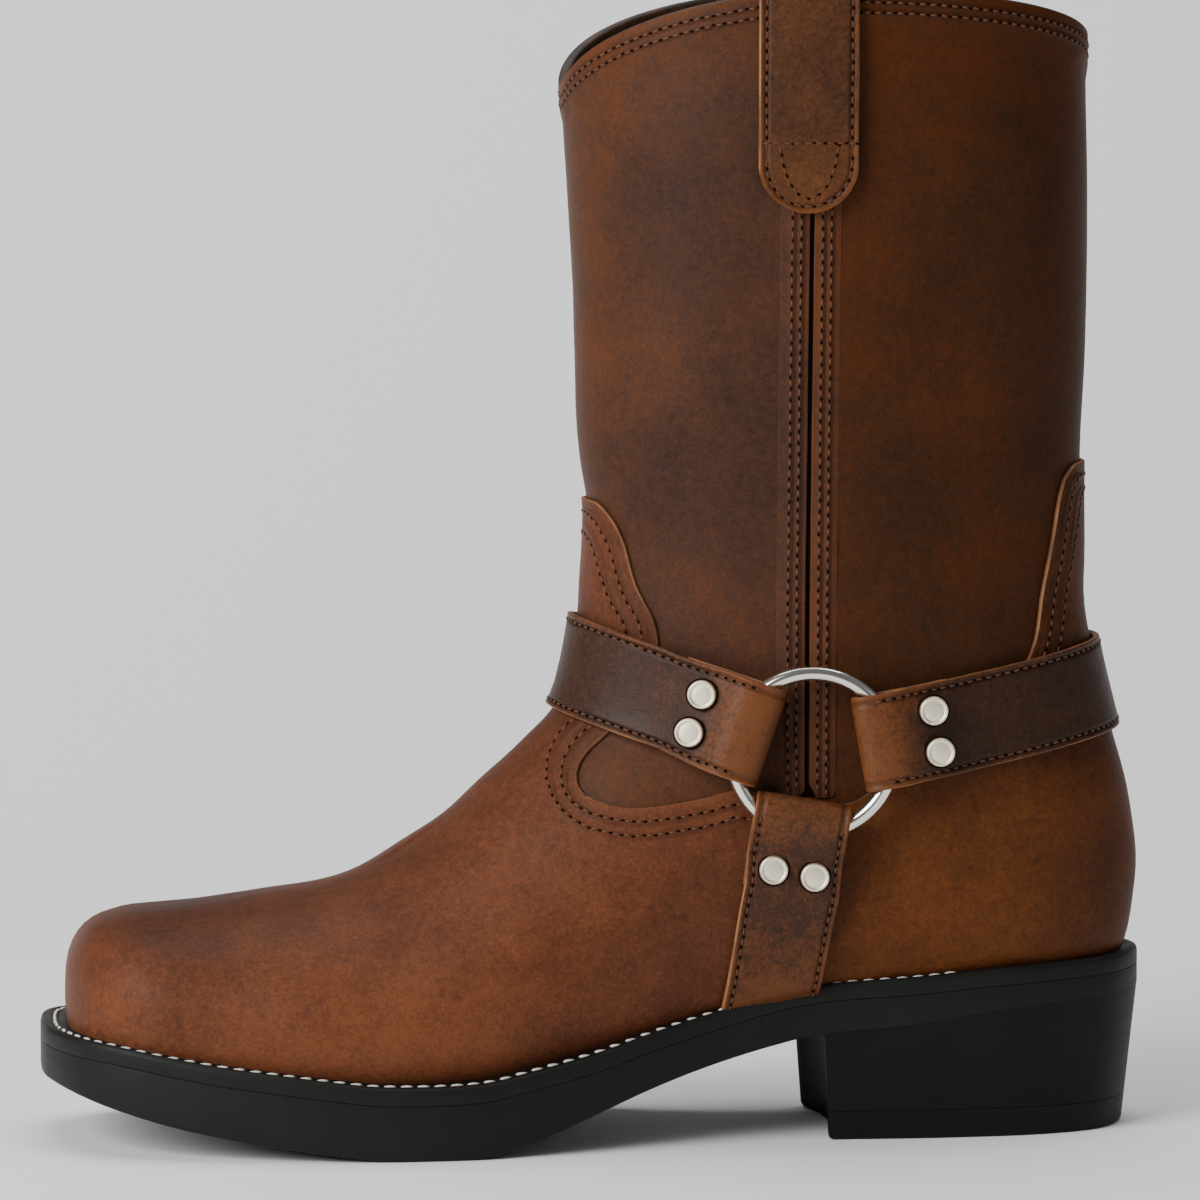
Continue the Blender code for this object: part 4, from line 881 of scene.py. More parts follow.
def feed(tree: NodeTree, node: Node, values: dict) -> None:
    """Feed a node's inputs from sockets, and set the others to plain values."""
    for name, value in values.items():
        if isinstance(value, NodeSocket):
            tree.links.new(value, node.inputs[name])
        else:
            node.inputs[name].default_value = value


def calculate(tree: NodeTree, operation: str, *terms: NodeSocket | float) -> NodeSocket:
    """Result of a calculation on sockets and numbers."""
    node = add_node(tree, "ShaderNodeMath", {"operation": operation})
    feed(tree, node, dict(enumerate(terms)))
    return node.outputs[0]


def noise(tree: NodeTree, spot: NodeSocket, millimetres: float, detail: float = 2.0,
          roughness: float = 0.5) -> NodeSocket:
    """Cloudy value with features of this size."""
    return add_node(tree, "ShaderNodeTexNoise", {
        "Scale": scale_for(millimetres), "Detail": detail, "Roughness": roughness},
        {"Vector": spot}).outputs["Fac"]


def spread(tree: NodeTree, value: NodeSocket, given: tuple[float, float],
           wanted: tuple[float, float], soft: bool = False) -> NodeSocket:
    """Value moved from the range that is given to the one that is wanted."""
    return add_node(tree, "ShaderNodeMapRange", {
        "interpolation_type": "SMOOTHSTEP" if soft else "LINEAR",
        "From Min": given[0], "From Max": given[1],
        "To Min": wanted[0], "To Max": wanted[1]}, {0: value}).outputs[0]


def mixed(tree: NodeTree, share: NodeSocket, first: NodeSocket | tuple[float, ...],
          second: tuple[float, ...]) -> NodeSocket:
    """Colour between two others, all of the first where the share is 0."""
    node = add_node(tree, "ShaderNodeMix", {"data_type": "RGBA"})
    feed(tree, node, {0: share, 6: first, 7: second})
    return node.outputs[2]


def bumped(tree: NodeTree, height: NodeSocket, strength: float, millimetres: float,
           normal: NodeSocket | None = None) -> NodeSocket:
    """Direction of a surface whose relief is this deep, over another relief if given."""
    node = add_node(tree, "ShaderNodeBump", {"Strength": strength, "Distance": millimetres * MM},
                    {"Height": height})
    if normal is not None:
        tree.links.new(normal, node.inputs["Normal"])
    return node.outputs["Normal"]


@dataclass(frozen=True)
class OiledLeather:
    """Oiled pull-up cowhide: waxy, cloudy, rust brown where it is stretched or rubbed."""

    name: str
    deep: str
    middle: str
    bright: str
    sewn_rows_mm: tuple[float, ...] = ()
    roughness: float = 0.52
    shine: float = 0.09

    def build(self) -> Material:
        """Make the material."""
        material, tree, shader = new_finish(self.name)
        spot = add_node(tree, "ShaderNodeTexCoord").outputs["Object"]
        # Rust brown from wear and folds, and on the foot also painted shade
        rust = add_node(tree, "ShaderNodeAttribute", {"attribute_name": "rust"}).outputs["Fac"]
        edge = add_node(tree, "ShaderNodeAttribute", {"attribute_name": "edge_mm"}).outputs["Fac"]
        # Clouds of wax and oil, and flecks where the wax is rubbed
        cloud = noise(tree, spot, 45, 3.0)
        patch = noise(tree, spot, 14, 6.0, 0.62)
        fleck = noise(tree, spot, 2.4, 4.0, 0.65)
        # Pores of the hide, drawn larger than they are so that they show
        pore = noise(tree, spot, 0.9, 3.0, 0.6)
        cell = add_node(tree, "ShaderNodeTexVoronoi", {"Scale": scale_for(1.1)}, {"Vector": spot})
        mottle = ((cloud, 0.45), (patch, 0.50), (fleck, 0.58), (pore, 0.72))
        level = MIDDLE_TONE - sum(weight for _, weight in mottle) / 2
        mottled = self._sum(tree, (rust, 1.0), *mottle, start=level)
        # The hide pales where its edge is rubbed
        rub = spread(tree, edge, (0.0, 1.6), (0.16, 0.0))
        mottled = self._sum(tree, (mottled, 1.0), (rub, 1.0))
        ramp = add_node(tree, "ShaderNodeValToRGB", links={"Fac": mottled})
        stops = ramp.color_ramp.elements
        stops[0].position, stops[0].color = 0.12, srgb(self.deep)
        stops[1].position, stops[1].color = 0.80, srgb(self.bright)
        stops.new(0.45).color = srgb(self.middle)
        colour = ramp.outputs["Color"]
        grain = self._sum(tree, (pore, 0.6), (cell.outputs["Distance"], 0.35))
        normal = bumped(tree, patch, 0.22, 1.6, bumped(tree, grain, 0.40, 0.24))
        # Needle rows lie in a shallow groove, and the colour darkens towards the deep tone along it
        groove = None
        for row in self.sewn_rows_mm:
            near = calculate(tree, "ABSOLUTE", calculate(tree, "SUBTRACT", edge, row))
            dip = spread(tree, near, (0.15, 1.3), (1.0, 0.0), soft=True)
            groove = dip if groove is None else calculate(tree, "MAXIMUM", groove, dip)
        if groove is not None:
            waxed = calculate(tree, "MULTIPLY", groove, 0.38)
            colour = mixed(tree, waxed, colour, srgb(self.deep))
            normal = bumped(tree, calculate(tree, "MULTIPLY", groove, -1.0), 0.75, 0.5, normal)
        gloss = self._sum(tree, (patch, 0.16), (pore, 0.14), start=self.roughness - 0.15)
        feed(tree, shader, {"Base Color": colour, "Roughness": gloss, "Normal": normal,
                            "Specular IOR Level": self.shine})
        return material

    @staticmethod
    def _sum(tree: NodeTree, *terms: tuple[NodeSocket, float],
             start: float = 0.0) -> NodeSocket:
        """Sum of sockets, each times its weight."""
        total = start
        for socket, weight in terms:
            total = calculate(tree, "MULTIPLY_ADD", socket, weight, total)
        return total


@dataclass(frozen=True)
class RawEdge:
    """Cut edge of oiled cowhide: tan fibres, waxed and darker in places."""

    name: str
    fibre: str
    waxed: str
    fibre_mm: float = 0.7

    def build(self) -> Material:
        """Make the material."""
        material, tree, shader = new_finish(self.name)
        spot = add_node(tree, "ShaderNodeTexCoord").outputs["Object"]
        fibre = noise(tree, spot, self.fibre_mm)
        ramp = add_node(tree, "ShaderNodeValToRGB", links={"Fac": noise(tree, spot, 16, 4.0)})
        stops = ramp.color_ramp.elements
        stops[0].position, stops[0].color = 0.38, srgb(self.waxed)
        stops[1].position, stops[1].color = 0.62, srgb(self.fibre)
        feed(tree, shader, {"Base Color": ramp.outputs["Color"], "Roughness": 0.62,
                            "Normal": bumped(tree, fibre, 0.4, 0.25)})
        return material


@dataclass(frozen=True)
class MouldedRubber:
    """Moulded nitrile rubber, buffed: nearly black, matt, with fine buffing marks along it."""

    name: str
    colour: str
    worn: str
    tread: bool = False
    shine: float = 0.18

    def build(self) -> Material:
        """Make the material."""
        material, tree, shader = new_finish(self.name)
        spot = add_node(tree, "ShaderNodeTexCoord").outputs["Object"]
        flat = add_node(tree, "ShaderNodeMapping", {"Scale": (0.12, 0.12, 1.0)}, {"Vector": spot})
        marks = noise(tree, flat.outputs["Vector"], 1.0, 4.0, 0.65)
        tint = mixed(tree, noise(tree, spot, 22, 5.0), srgb(self.colour), srgb(self.worn))
        normal = bumped(tree, marks, 0.3, 0.3)
        if self.tread:
            # Cross ribs of the tread, 4.5 mm apart
            rib = add_node(tree, "ShaderNodeTexWave", {"wave_type": "BANDS",
                                                       "bands_direction": "X",
                                                       "wave_profile": "SAW",
                                                       "Scale": scale_for(4.5) / 20},
                           {"Vector": spot})
            normal = bumped(tree, rib.outputs["Fac"], 0.6, 1.2, normal)
        feed(tree, shader, {"Base Color": tint, "Normal": normal,
                            "Roughness": spread(tree, marks, (0.0, 1.0), (0.42, 0.62)),
                            "Specular IOR Level": self.shine})
        return material


@dataclass(frozen=True)
class NickelPlate:
    """Polished nickel plate on steel: bright, warm white, with soft patches of gloss."""

    name: str
    colour: str
    roughness: float

    def build(self) -> Material:
        """Make the material."""
        material, tree, shader = new_finish(self.name)
        spot = add_node(tree, "ShaderNodeTexCoord").outputs["Object"]
        gloss = spread(tree, noise(tree, spot, 6, 5.0), (0.0, 1.0),
                       (self.roughness - 0.06, self.roughness + 0.08))
        feed(tree, shader, {"Base Color": srgb(self.colour), "Metallic": 1.0,
                            "Roughness": gloss})
        return material


@dataclass(frozen=True)
class Thread:
    """Waxed polyester thread: twisted, slightly shiny."""

    name: str
    colour: str
    shade: str
    roughness: float = 0.55
    shine: float = 0.4

    def build(self) -> Material:
        """Make the material."""
        material, tree, shader = new_finish(self.name)
        spot = add_node(tree, "ShaderNodeTexCoord").outputs["Object"]
        twist = noise(tree, spot, 0.5)
        feed(tree, shader, {
            "Base Color": mixed(tree, twist, srgb(self.shade), srgb(self.colour)),
            "Roughness": self.roughness, "Specular IOR Level": self.shine,
            "Normal": bumped(tree, twist, 0.5, 0.1)})
        return material


class Finishes:
    """All the boot's materials."""

    def __init__(self) -> None:
        """Build each finish once."""
        # Dark, cool brown in front of the seam, clouded by its oil
        self.shaft = OiledLeather("shaft_oiled_leather", "#32201a", "#452b1e", "#5b331b",
                                  sewn_rows_mm=COLLAR_ROWS).build()
        # Redder and paler foot, worn over the toe and sides
        self.vamp = OiledLeather("vamp_oiled_leather", "#3f2418", "#573120", "#704027",
                                 sewn_rows_mm=OVERLAY_ROWS).build()
        # Warm brown behind the seam; its deeper tone is painted shade for the panel turned from the light
        self.shaft_back = OiledLeather("shaft_back_oiled_leather", "#29180e", "#3a2111", "#4e270f",
                                       sewn_rows_mm=COLLAR_ROWS).build()
        # Amber brown over the heel
        self.counter = OiledLeather("counter_oiled_leather", "#3e2110", "#562f16", "#6f3d1a",
                                    sewn_rows_mm=OVERLAY_ROWS).build()
        # Seam strips as dark as the shaft's front
        self.flap = OiledLeather("seam_oiled_leather", "#32201a", "#452b1e", "#5b331b",
                                 sewn_rows_mm=SEAM_ROWS).build()
        # Nearly black brown with a waxy shine, rust where it folds
        self.strap = OiledLeather("strap_oiled_leather", "#271810", "#3c2518", "#673b1f",
                                  sewn_rows_mm=STRAP_ROWS, roughness=0.46, shine=0.17).build()
        # Warmer and duller than the harness straps
        self.pull = OiledLeather("pull_strap_oiled_leather", "#301c11", "#4b2c17", "#683b1c",
                                 sewn_rows_mm=STRAP_ROWS, shine=0.16).build()
        # Dull and dark: painted shade that keeps the opening dim
        self.shaded_lining = OiledLeather("lining_plain_leather", "#1f140d", "#2e1e14", "#4a3220",
                                   roughness=0.62).build()
        # Pale bare leather at the bottom of the boot
        self.insole = OiledLeather("insole_plain_leather", "#5d3f28", "#7d5839", "#9b7450",
                                   roughness=0.66).build()
        # Tan cut edges that draw a light line round the panels
        self.edge = RawEdge("raw_leather_edge", "#93633c", "#553219").build()
        # Stained edges that stay quiet at collar and seams, and painted shade on the counter's edge close behind
        # the seam
        self.dark_edge = RawEdge("waxed_leather_edge", "#47291a", "#1d110a").build()
        # Matt black with a soft grey sheen along the sole
        self.rubber = MouldedRubber("sole_moulded_rubber", "#10100f", "#191917").build()
        # Black with fine ribs that break the light
        self.tread = MouldedRubber("tread_moulded_rubber", "#0c0c0c", "#131312", True).build()
        # Darker than the sole as painted shade on the heel turned from the key light, with less sheen
        self.heel = MouldedRubber("heel_moulded_rubber", "#0b0b0a", "#121210", shine=0.15).build()
        # Near-black breast with no sheen: painted shade where the arch shadows it
        self.shaded = MouldedRubber("heel_breast_rubber", "#060605", "#0a0a09",
                                    shine=0.01).build()
        # Bright mirror wire with dark bands
        self.nickel = NickelPlate("ring_nickel_plate", "#ece9e0", 0.16).build()
        # Brushed, warm white caps with wide, soft highlights
        self.rivet = NickelPlate("rivet_nickel_plate", "#fff5dc", 0.48).build()
        # Brown thread that just shows on the leather
        self.thread = Thread("brown_waxed_thread", "#6f4122", "#472710").build()
        # Dark specks that make the rows read as sewn: painted shadow of the needle holes, also used in the seam
        # groove and round the rivets
        self.hole = Thread("needle_hole_shadow", "#1f110a", "#150b06", 0.9, 0.0).build()
        # Chalk white dashes round the sole
        self.white = Thread("white_waxed_thread", "#e6e2d8", "#b9b3a6").build()


def copies_on(tree: NodeTree, points: NodeSocket, shape: NodeSocket, turn: NodeSocket,
              finish: NodeSocket) -> NodeSocket:
    """Copies of a shape on points, made real and given their finish.

    Args:
        tree: the node tree.
        points: where the copies go.
        shape: what is copied.
        turn: how each copy is turned.
        finish: the copies' material.

    Returns:
        The copies' socket.
    """
    copies = add_node(tree, "GeometryNodeInstanceOnPoints", links={
        "Points": points, "Instance": shape, "Rotation": turn})
    real = add_node(tree, "GeometryNodeRealizeInstances", links={0: copies.outputs[0]})
    dressed = add_node(tree, "GeometryNodeSetMaterial", links={
        "Geometry": real.outputs[0], "Material": finish})
    return dressed.outputs[0]


def stitch_tree() -> NodeTree:
    """Node tree that sews stitches along lines, with a flat dark oval after each as the needle hole's painted
    shadow.
    """
    tree = bpy.data.node_groups.new("sew_along_lines", "GeometryNodeTree")
    face = tree.interface
    face.new_socket("Lines", in_out="INPUT", socket_type="NodeSocketGeometry")
    for name, value in (("Pitch", 3.0 * MM), ("Stitch Length", 2.0 * MM), ("Thread", 0.7 * MM),
                        ("Hole", 0.8 * MM), ("Lift", 0.1 * MM)):
        socket = face.new_socket(name, in_out="INPUT", socket_type="NodeSocketFloat")
        socket.default_value = value
    seed = face.new_socket("Seed", in_out="INPUT", socket_type="NodeSocketInt")
    seed.default_value = 7
    face.new_socket("Thread Material", in_out="INPUT", socket_type="NodeSocketMaterial")
    face.new_socket("Hole Material", in_out="INPUT", socket_type="NodeSocketMaterial")
    face.new_socket("Stitches", in_out="OUTPUT", socket_type="NodeSocketGeometry")
    given = add_node(tree, "NodeGroupInput").outputs
    curve = add_node(tree, "GeometryNodeMeshToCurve", links={"Mesh": given["Lines"]})
    even = add_node(tree, "GeometryNodeResampleCurve", {"mode": "LENGTH"},
                    {"Curve": curve.outputs[0], "Length": given["Pitch"]})
    out = add_node(tree, "GeometryNodeInputNamedAttribute", {"data_type": "FLOAT_VECTOR",
                                                             "Name": "out"})
    run = add_node(tree, "GeometryNodeInputTangent")
    turn = add_node(tree, "FunctionNodeAxesToRotation", {"primary_axis": "Z",
                                                         "secondary_axis": "X"},
                    {"Primary Axis": out.outputs[0], "Secondary Axis": run.outputs[0]})
    wander = add_node(tree, "FunctionNodeRandomValue", {"data_type": "FLOAT_VECTOR"},
                      {"Seed": given["Seed"]})
    wander.inputs[0].default_value = (-0.03, -0.03, -0.12)
    wander.inputs[1].default_value = (0.03, 0.03, 0.12)
    turned = add_node(tree, "FunctionNodeRotateRotation", {"rotation_space": "LOCAL"},
                      {0: turn.outputs[0], 1: wander.outputs[0]})
    ball = add_node(tree, "GeometryNodeMeshUVSphere", {"Segments": 6, "Rings": 4, "Radius": 0.5})
    size = add_node(tree, "ShaderNodeCombineXYZ", links={
        "X": given["Stitch Length"], "Y": given["Thread"], "Z": given["Thread"]})
    thread = add_node(tree, "GeometryNodeTransform", links={
        "Geometry": ball.outputs[0], "Scale": size.outputs[0]})
    # Flat dark oval: painted shadow of the needle hole
    dot = add_node(tree, "GeometryNodeMeshCircle", {"Vertices": 7, "fill_type": "NGON"},
                   {"Radius": given["Hole"]})
    aside = add_node(tree, "ShaderNodeCombineXYZ", links={
        "X": calculate(tree, "MULTIPLY", given["Pitch"], 0.5), "Z": given["Lift"]})
    hole = add_node(tree, "GeometryNodeTransform", {"Scale": (0.72, 0.5, 1.0)},
                    {"Geometry": dot.outputs[0], "Translation": aside.outputs[0]})
    join = add_node(tree, "GeometryNodeJoinGeometry")
    for shape, material in ((thread, "Thread Material"), (hole, "Hole Material")):
        tree.links.new(copies_on(tree, even.outputs[0], shape.outputs[0], turned.outputs[0],
                                 given[material]), join.inputs[0])
    smooth = add_node(tree, "GeometryNodeSetShadeSmooth", links={0: join.outputs[0]})
    add_node(tree, "NodeGroupOutput", links={0: smooth.outputs[0]})
    return tree


@dataclass
class Stitching:
    """All rows of stitches, sewn by one node tree."""

    pitch: float = 3.1 * MM
    tree: NodeTree = field(default_factory=stitch_tree)

    def sew(self, name: str, runs: list[Run], thread: Material,
            hole: Material, sizes: dict[str, float] | None = None) -> Object:
        """Sew rows of stitches as one piece.

        Args:
            name: the piece's name.
            runs: the rows.
            thread: the thread's finish.
            hole: the needle holes' finish.
            sizes: inputs of the tree to change.

        Returns:
            The stitches as a plain mesh.
        """
        points, outs, edges = [], [], []
        for run in runs:
            base = len(points)
            points += list(run.places)
            outs += list(run.out)
            edges += [(base + k, base + k + 1) for k in range(len(run.places) - 1)]
        mesh = bpy.data.meshes.new(name)
        mesh.from_pydata(np.array(points).tolist(), edges, [])
        attribute = mesh.attributes.new("out", "FLOAT_VECTOR", "POINT")
        attribute.data.foreach_set("vector", np.array(outs, np.float32).ravel())
        lines = new_object(name + "_lines", mesh)
        inputs = {"Pitch": self.pitch, "Thread Material": thread, "Hole Material": hole}
        inputs.update(sizes or {})
        return grow(lines, self.tree, name, inputs)


def grow(base: Object, tree: NodeTree, name: str,
         inputs: dict[str, object]) -> Object:
    """Run a node tree on an object and keep the result as a plain mesh.

    Args:
        base: the object that the tree starts from, removed afterwards.
        tree: the node tree.
        name: the new piece's name.
        inputs: values of the tree's inputs, by name.

    Returns:
        The new piece.
    """
    modifier = base.modifiers.new("grow", "NODES")
    modifier.node_group = tree
    names = {item.name: item.identifier for item in tree.interface.items_tree
             if item.in_out == "INPUT"}
    for key, value in inputs.items():
        modifier[names[key]] = value
    deps = bpy.context.evaluated_depsgraph_get()
    mesh = bpy.data.meshes.new_from_object(base.evaluated_get(deps), depsgraph=deps)
    base.modifiers.clear()
    bpy.data.objects.remove(base)
    mesh.name = name
    return new_object(name, mesh)


def hand_over(piece: Object, slot: str, *nodes: str) -> None:
    """Join a finished piece to the boot's body, in place of its solids.

    Args:
        piece: the piece.
        slot: material slot of the record for the piece; not used.
        nodes: the solids that it replaces, if any.
    """
    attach(piece, "root")
    if nodes:
        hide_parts(*nodes)
    LOG.info("%s: %d faces", piece.name, len(piece.data.polygons))


def rust_patches(points: np.ndarray, patches: list[tuple[float, float, float, float]]) -> np.ndarray:
    """Sum of soft patches in the side view, each x, z, radius and strength."""
    total = np.zeros(len(points))
    for x, z, radius, strength in patches:
        away = np.hypot(points[:, 0] - x, points[:, 2] - z)
        total += strength * np.exp(-(away / radius) ** 2)
    return total


@dataclass
class Upper:
    """Shaft and foot of the boot with its overlays and side seams."""

    last: Last
    finishes: Finishes
    stitching: Stitching
    wall: float = 2.4 * MM
    gap: float = 0.05 * MM
    overlay: float = 1.4 * MM
    edge_round: float = 0.45 * MM
    band_height: float = 8.5 * MM
    band_step: float = 0.7 * MM
    flap: float = 1.0 * MM
    flap_front: float = 7.5 * MM
    flap_back: float = 7.0 * MM
    groove: float = 1.8 * MM
    groove_floor: float = 2.6 * MM
    counter_row_end: float = 106.0 * MM
    seam_clear: float = 9.0 * MM
    waxed_behind: float = 34.0 * MM
    row_clear: float = 12.0 * MM
    collar_round: float = 0.9 * MM
    flap_round: float = 0.35 * MM
    far_inside: float = 20.0 * MM
    insole: float = 4.0 * MM
    insole_lift: float = 0.3 * MM
    insole_gap: float = 0.3 * MM
    insole_edge: float = 0.6 * MM
    insole_dish: float = 0.5 * MM
    insole_columns: int = 13
    vamp_peak: float = 0.479
    counter_peak: float = 0.515
    seam_foot: float = 0.176

    def collar_level(self) -> np.ndarray:
        """Height over the collar's rim."""
        return self.last.points[..., 2] - self.last.collar_height(self.last.points)

    def welt_level(self) -> np.ndarray:
        """Depth under the top of the welt."""
        xs = np.linspace(self.last.at(-0.05), self.last.at(1.05), 240)
        tops = np.array([self.last.sole_top(x) for x in xs])
        return np.interp(self.last.points[..., 0], xs, tops) - 0.4 * MM - self.last.points[..., 2]

    def build_wall(self) -> None:
        """Hollow wall of shaft and foot, with its collar band and lining."""
        last = self.last
        collar = self.collar_level()
        level = np.maximum(collar, self.welt_level())
        band = self.band_step * ease_all(collar, -self.band_height - 0.8 * MM,
                                         -self.band_height + 0.8 * MM)
        sheet = Sheet(level, np.full(level.shape, -self.wall), band)
        piece = cut_sheet("upper_wall", last, sheet, self.collar_round)
        points = vertices_of(piece)
        rim = last.collar_height(points) - points[:, 2]
        set_edge(piece, rim)
        store(piece, "rust", self._shaft_rust(points))
        # The inside takes the dark lining, painted shade for the boot's opening
        dress(piece, self.finishes.shaft, self.finishes.dark_edge, self.finishes.shaded_lining,
              self.finishes.shaft_back)
        # Behind the seam the outside takes the back panel's warm brown, deepened with painted shade
        for face in piece.data.polygons:
            if face.material_index == OUTSIDE and face.center.x > last.seam_x:
                face.material_index = BACK_PANEL
        hand_over(piece, "shaft_leather", "upper")
        runs = []
        for row in COLLAR_ROWS:
            runs += level_runs(last, collar, -row * MM, band)
        sewn = self.stitching.sew("collar_stitches", runs, self.finishes.thread,
                                  self.finishes.hole)
        hand_over(sewn, "shaft_leather")

    def _shaft_rust(self, points: np.ndarray) -> np.ndarray:
        """How rust brown the shaft is: dark in front, rust behind, with cloudy patches."""
        x, z = points[:, 0], points[:, 2]
        seam = self.last.seam_x
        behind = ease_all(x, seam - 2 * MM, seam + 2 * MM)
        rust = -0.04 + 0.22 * behind * (1 - 0.6 * ease_all(x, seam + 8 * MM, seam + 30 * MM))
        rust += 0.10 * ease_all(-x, -12 * MM, 2 * MM) * ease_all(z, 0.12, 0.16)
        rust += 0.10 * ease_all(x, 0.115, 0.138)
        rust += 0.14 * ease_all(z, 0.268, 0.305)
        rust += rust_patches(points, [
            (0.105, 0.275, 0.022, 0.06), (0.098, 0.205, 0.020, 0.10), (0.112, 0.165, 0.016, 0.14),
            (0.082, 0.190, 0.018, -0.14), (0.024, 0.255, 0.022, -0.16), (0.030, 0.190, 0.028, -0.10),
            (0.040, 0.145, 0.020, 0.12), (0.012, 0.215, 0.012, 0.12), (0.072, 0.150, 0.015, -0.06),
            (0.010, 0.100, 0.018, 0.26), (0.020, 0.235, 0.030, 0.06),
        ])
        return rust

    @staticmethod
    def _edge_curve(corners: list[tuple[float, float]]) -> np.ndarray:
        """Smooth edge through corners in the side view."""
        return spline_between(np.array(corners), 6)

    def vamp_outline(self) -> np.ndarray:
        """Closed side-view outline of the vamp."""
        last = self.last
        front = last.at(0.490)
        peak = last.seat_z + self.vamp_peak * last.shaft_height
        foot = last.seat_z + self.seam_foot * last.shaft_height
        edge = self._edge_curve([
            (front - 0.020, peak + 0.0010), (front, peak), (front + 0.0050, peak - 0.0022),
            (front + 0.0095, peak - 0.0100), (front + 0.0128, peak - 0.0230),
            (front + 0.0180, peak - 0.0350), (front + 0.0165, peak - 0.0500),
            (front + 0.0060, peak - 0.0625), (front - 0.0015, peak - 0.0700),
            (front - 0.0042, peak - 0.0760), (front - 0.0026, peak - 0.0805),
            (front + 0.0030, peak - 0.0830), (front + 0.0130, peak - 0.0840),
            (front + 0.0290, peak - 0.0815), (front + 0.0390, peak - 0.0788),
            (front + 0.0460, peak - 0.0800), (last.seam_x, foot),
        ])
        far = last.sole_length
        return np.concatenate(([(-far, peak + 0.0010)], edge, [(last.seam_x, -0.02), (-far, -0.02)]))

    def counter_outline(self) -> np.ndarray:
        """Closed side-view outline of the back counter."""
        last = self.last
        back = last.at(0.946)
        peak = last.seat_z + self.counter_peak * last.shaft_height
        foot = last.seat_z + self.seam_foot * last.shaft_height
        edge = self._edge_curve([
            (back + 0.010, peak + 0.0002), (back, peak), (back - 0.0062, peak - 0.0008),
            (back - 0.0100, peak - 0.0060), (back - 0.0128, peak - 0.0200),
            (back - 0.0160, peak - 0.0350), (back - 0.0185, peak - 0.0490),
            (back - 0.0260, peak - 0.0610), (back - 0.0430, peak - 0.0750),
            (back - 0.0620, peak - 0.0865), (last.seam_x + 0.0120, foot - 0.0006),
            (last.seam_x, foot),
        ])
        far = last.sole_length
        return np.concatenate(([(far, peak + 0.0002)], edge, [(last.seam_x, -0.02), (far, -0.02)]))

    def build_overlays(self) -> None:
        """Vamp and counter with their raw edges and double rows of stitches."""
        finishes = self.finishes
        for name, outline, outside in (("vamp", self.vamp_outline(), finishes.vamp),
                                       ("counter", self.counter_outline(), finishes.counter)):
            around_edge = outline_distance(self.last.points, outline)
            level = np.maximum(around_edge, self.welt_level())
            top = np.full(level.shape, self.gap + self.overlay)
            piece = cut_sheet(f"{name}_overlay", self.last,
                              Sheet(level, np.full(level.shape, self.gap), top), self.edge_round)
            points = vertices_of(piece)
            distance = -outline_distance(points, outline)
            near_seam = np.abs(points[:, 0] - self.last.seam_x) < self.seam_clear
            near_seam |= (points[:, 0] > self.last.seam_x) & (points[:, 2] < self.counter_row_end)
            distance = np.where(near_seam, self.far_inside, distance)
            set_edge(piece, distance)
            # Rust brown, with painted shade on the toe's top and instep
            store(piece, "rust", self._foot_rust(points))
            dress(piece, outside, finishes.edge, finishes.dark_edge)
            # Close behind the seam the cut edge takes the dark inside finish, painted shade where it runs in the
            # ring's shadow
            for face in piece.data.polygons:
                behind = face.center.x - self.last.seam_x
                if face.material_index == CUT_EDGE and 0 < behind < self.waxed_behind:
                    face.material_index = INSIDE
            hand_over(piece, "vamp_leather", name)
            clear = np.abs(self.last.points[..., 0] - self.last.seam_x) > self.seam_clear
            clear &= self.welt_level() < -self.row_clear
            clear &= ((self.last.points[..., 0] < self.last.seam_x)
                      | (self.last.points[..., 2] > self.counter_row_end))
            runs = []
            for row in OVERLAY_ROWS:
                runs += level_runs(self.last, around_edge, -row * MM, top, clear)
            sewn = self.stitching.sew(f"{name}_stitches", runs, finishes.thread, finishes.hole)
            hand_over(sewn, "vamp_leather")

    def _foot_rust(self, points: np.ndarray) -> np.ndarray:
        """How rust brown the foot is: bright on the sides, and darker on the toe's top and instep as painted
        shade.
        """
        x, z = points[:, 0], points[:, 2]
        # Painted shade: the fall with height here, and the dark patch on the toe's top first below
        rust = 0.06 - 0.20 * ease_all(z, 0.085, 0.125)
        rust -= 0.12 * ease_all(x, 0.045, 0.065)
        rust += rust_patches(points, [
            (-0.120, 0.066, 0.026, -0.34), (-0.075, 0.074, 0.030, -0.14), (-0.095, 0.034, 0.030, 0.22),
            (-0.135, 0.045, 0.016, 0.20), (-0.050, 0.036, 0.030, 0.16), (-0.010, 0.072, 0.026, 0.10),
            (0.020, 0.050, 0.022, -0.10), (0.105, 0.062, 0.026, 0.16), (0.125, 0.095, 0.020, 0.14),
            (0.140, 0.160, 0.018, 0.10), (0.000, 0.165, 0.016, 0.16), (0.085, 0.095, 0.016, 0.08),
            (-0.035, 0.092, 0.016, -0.10), (0.145, 0.070, 0.014, -0.12),
        ])
        return rust

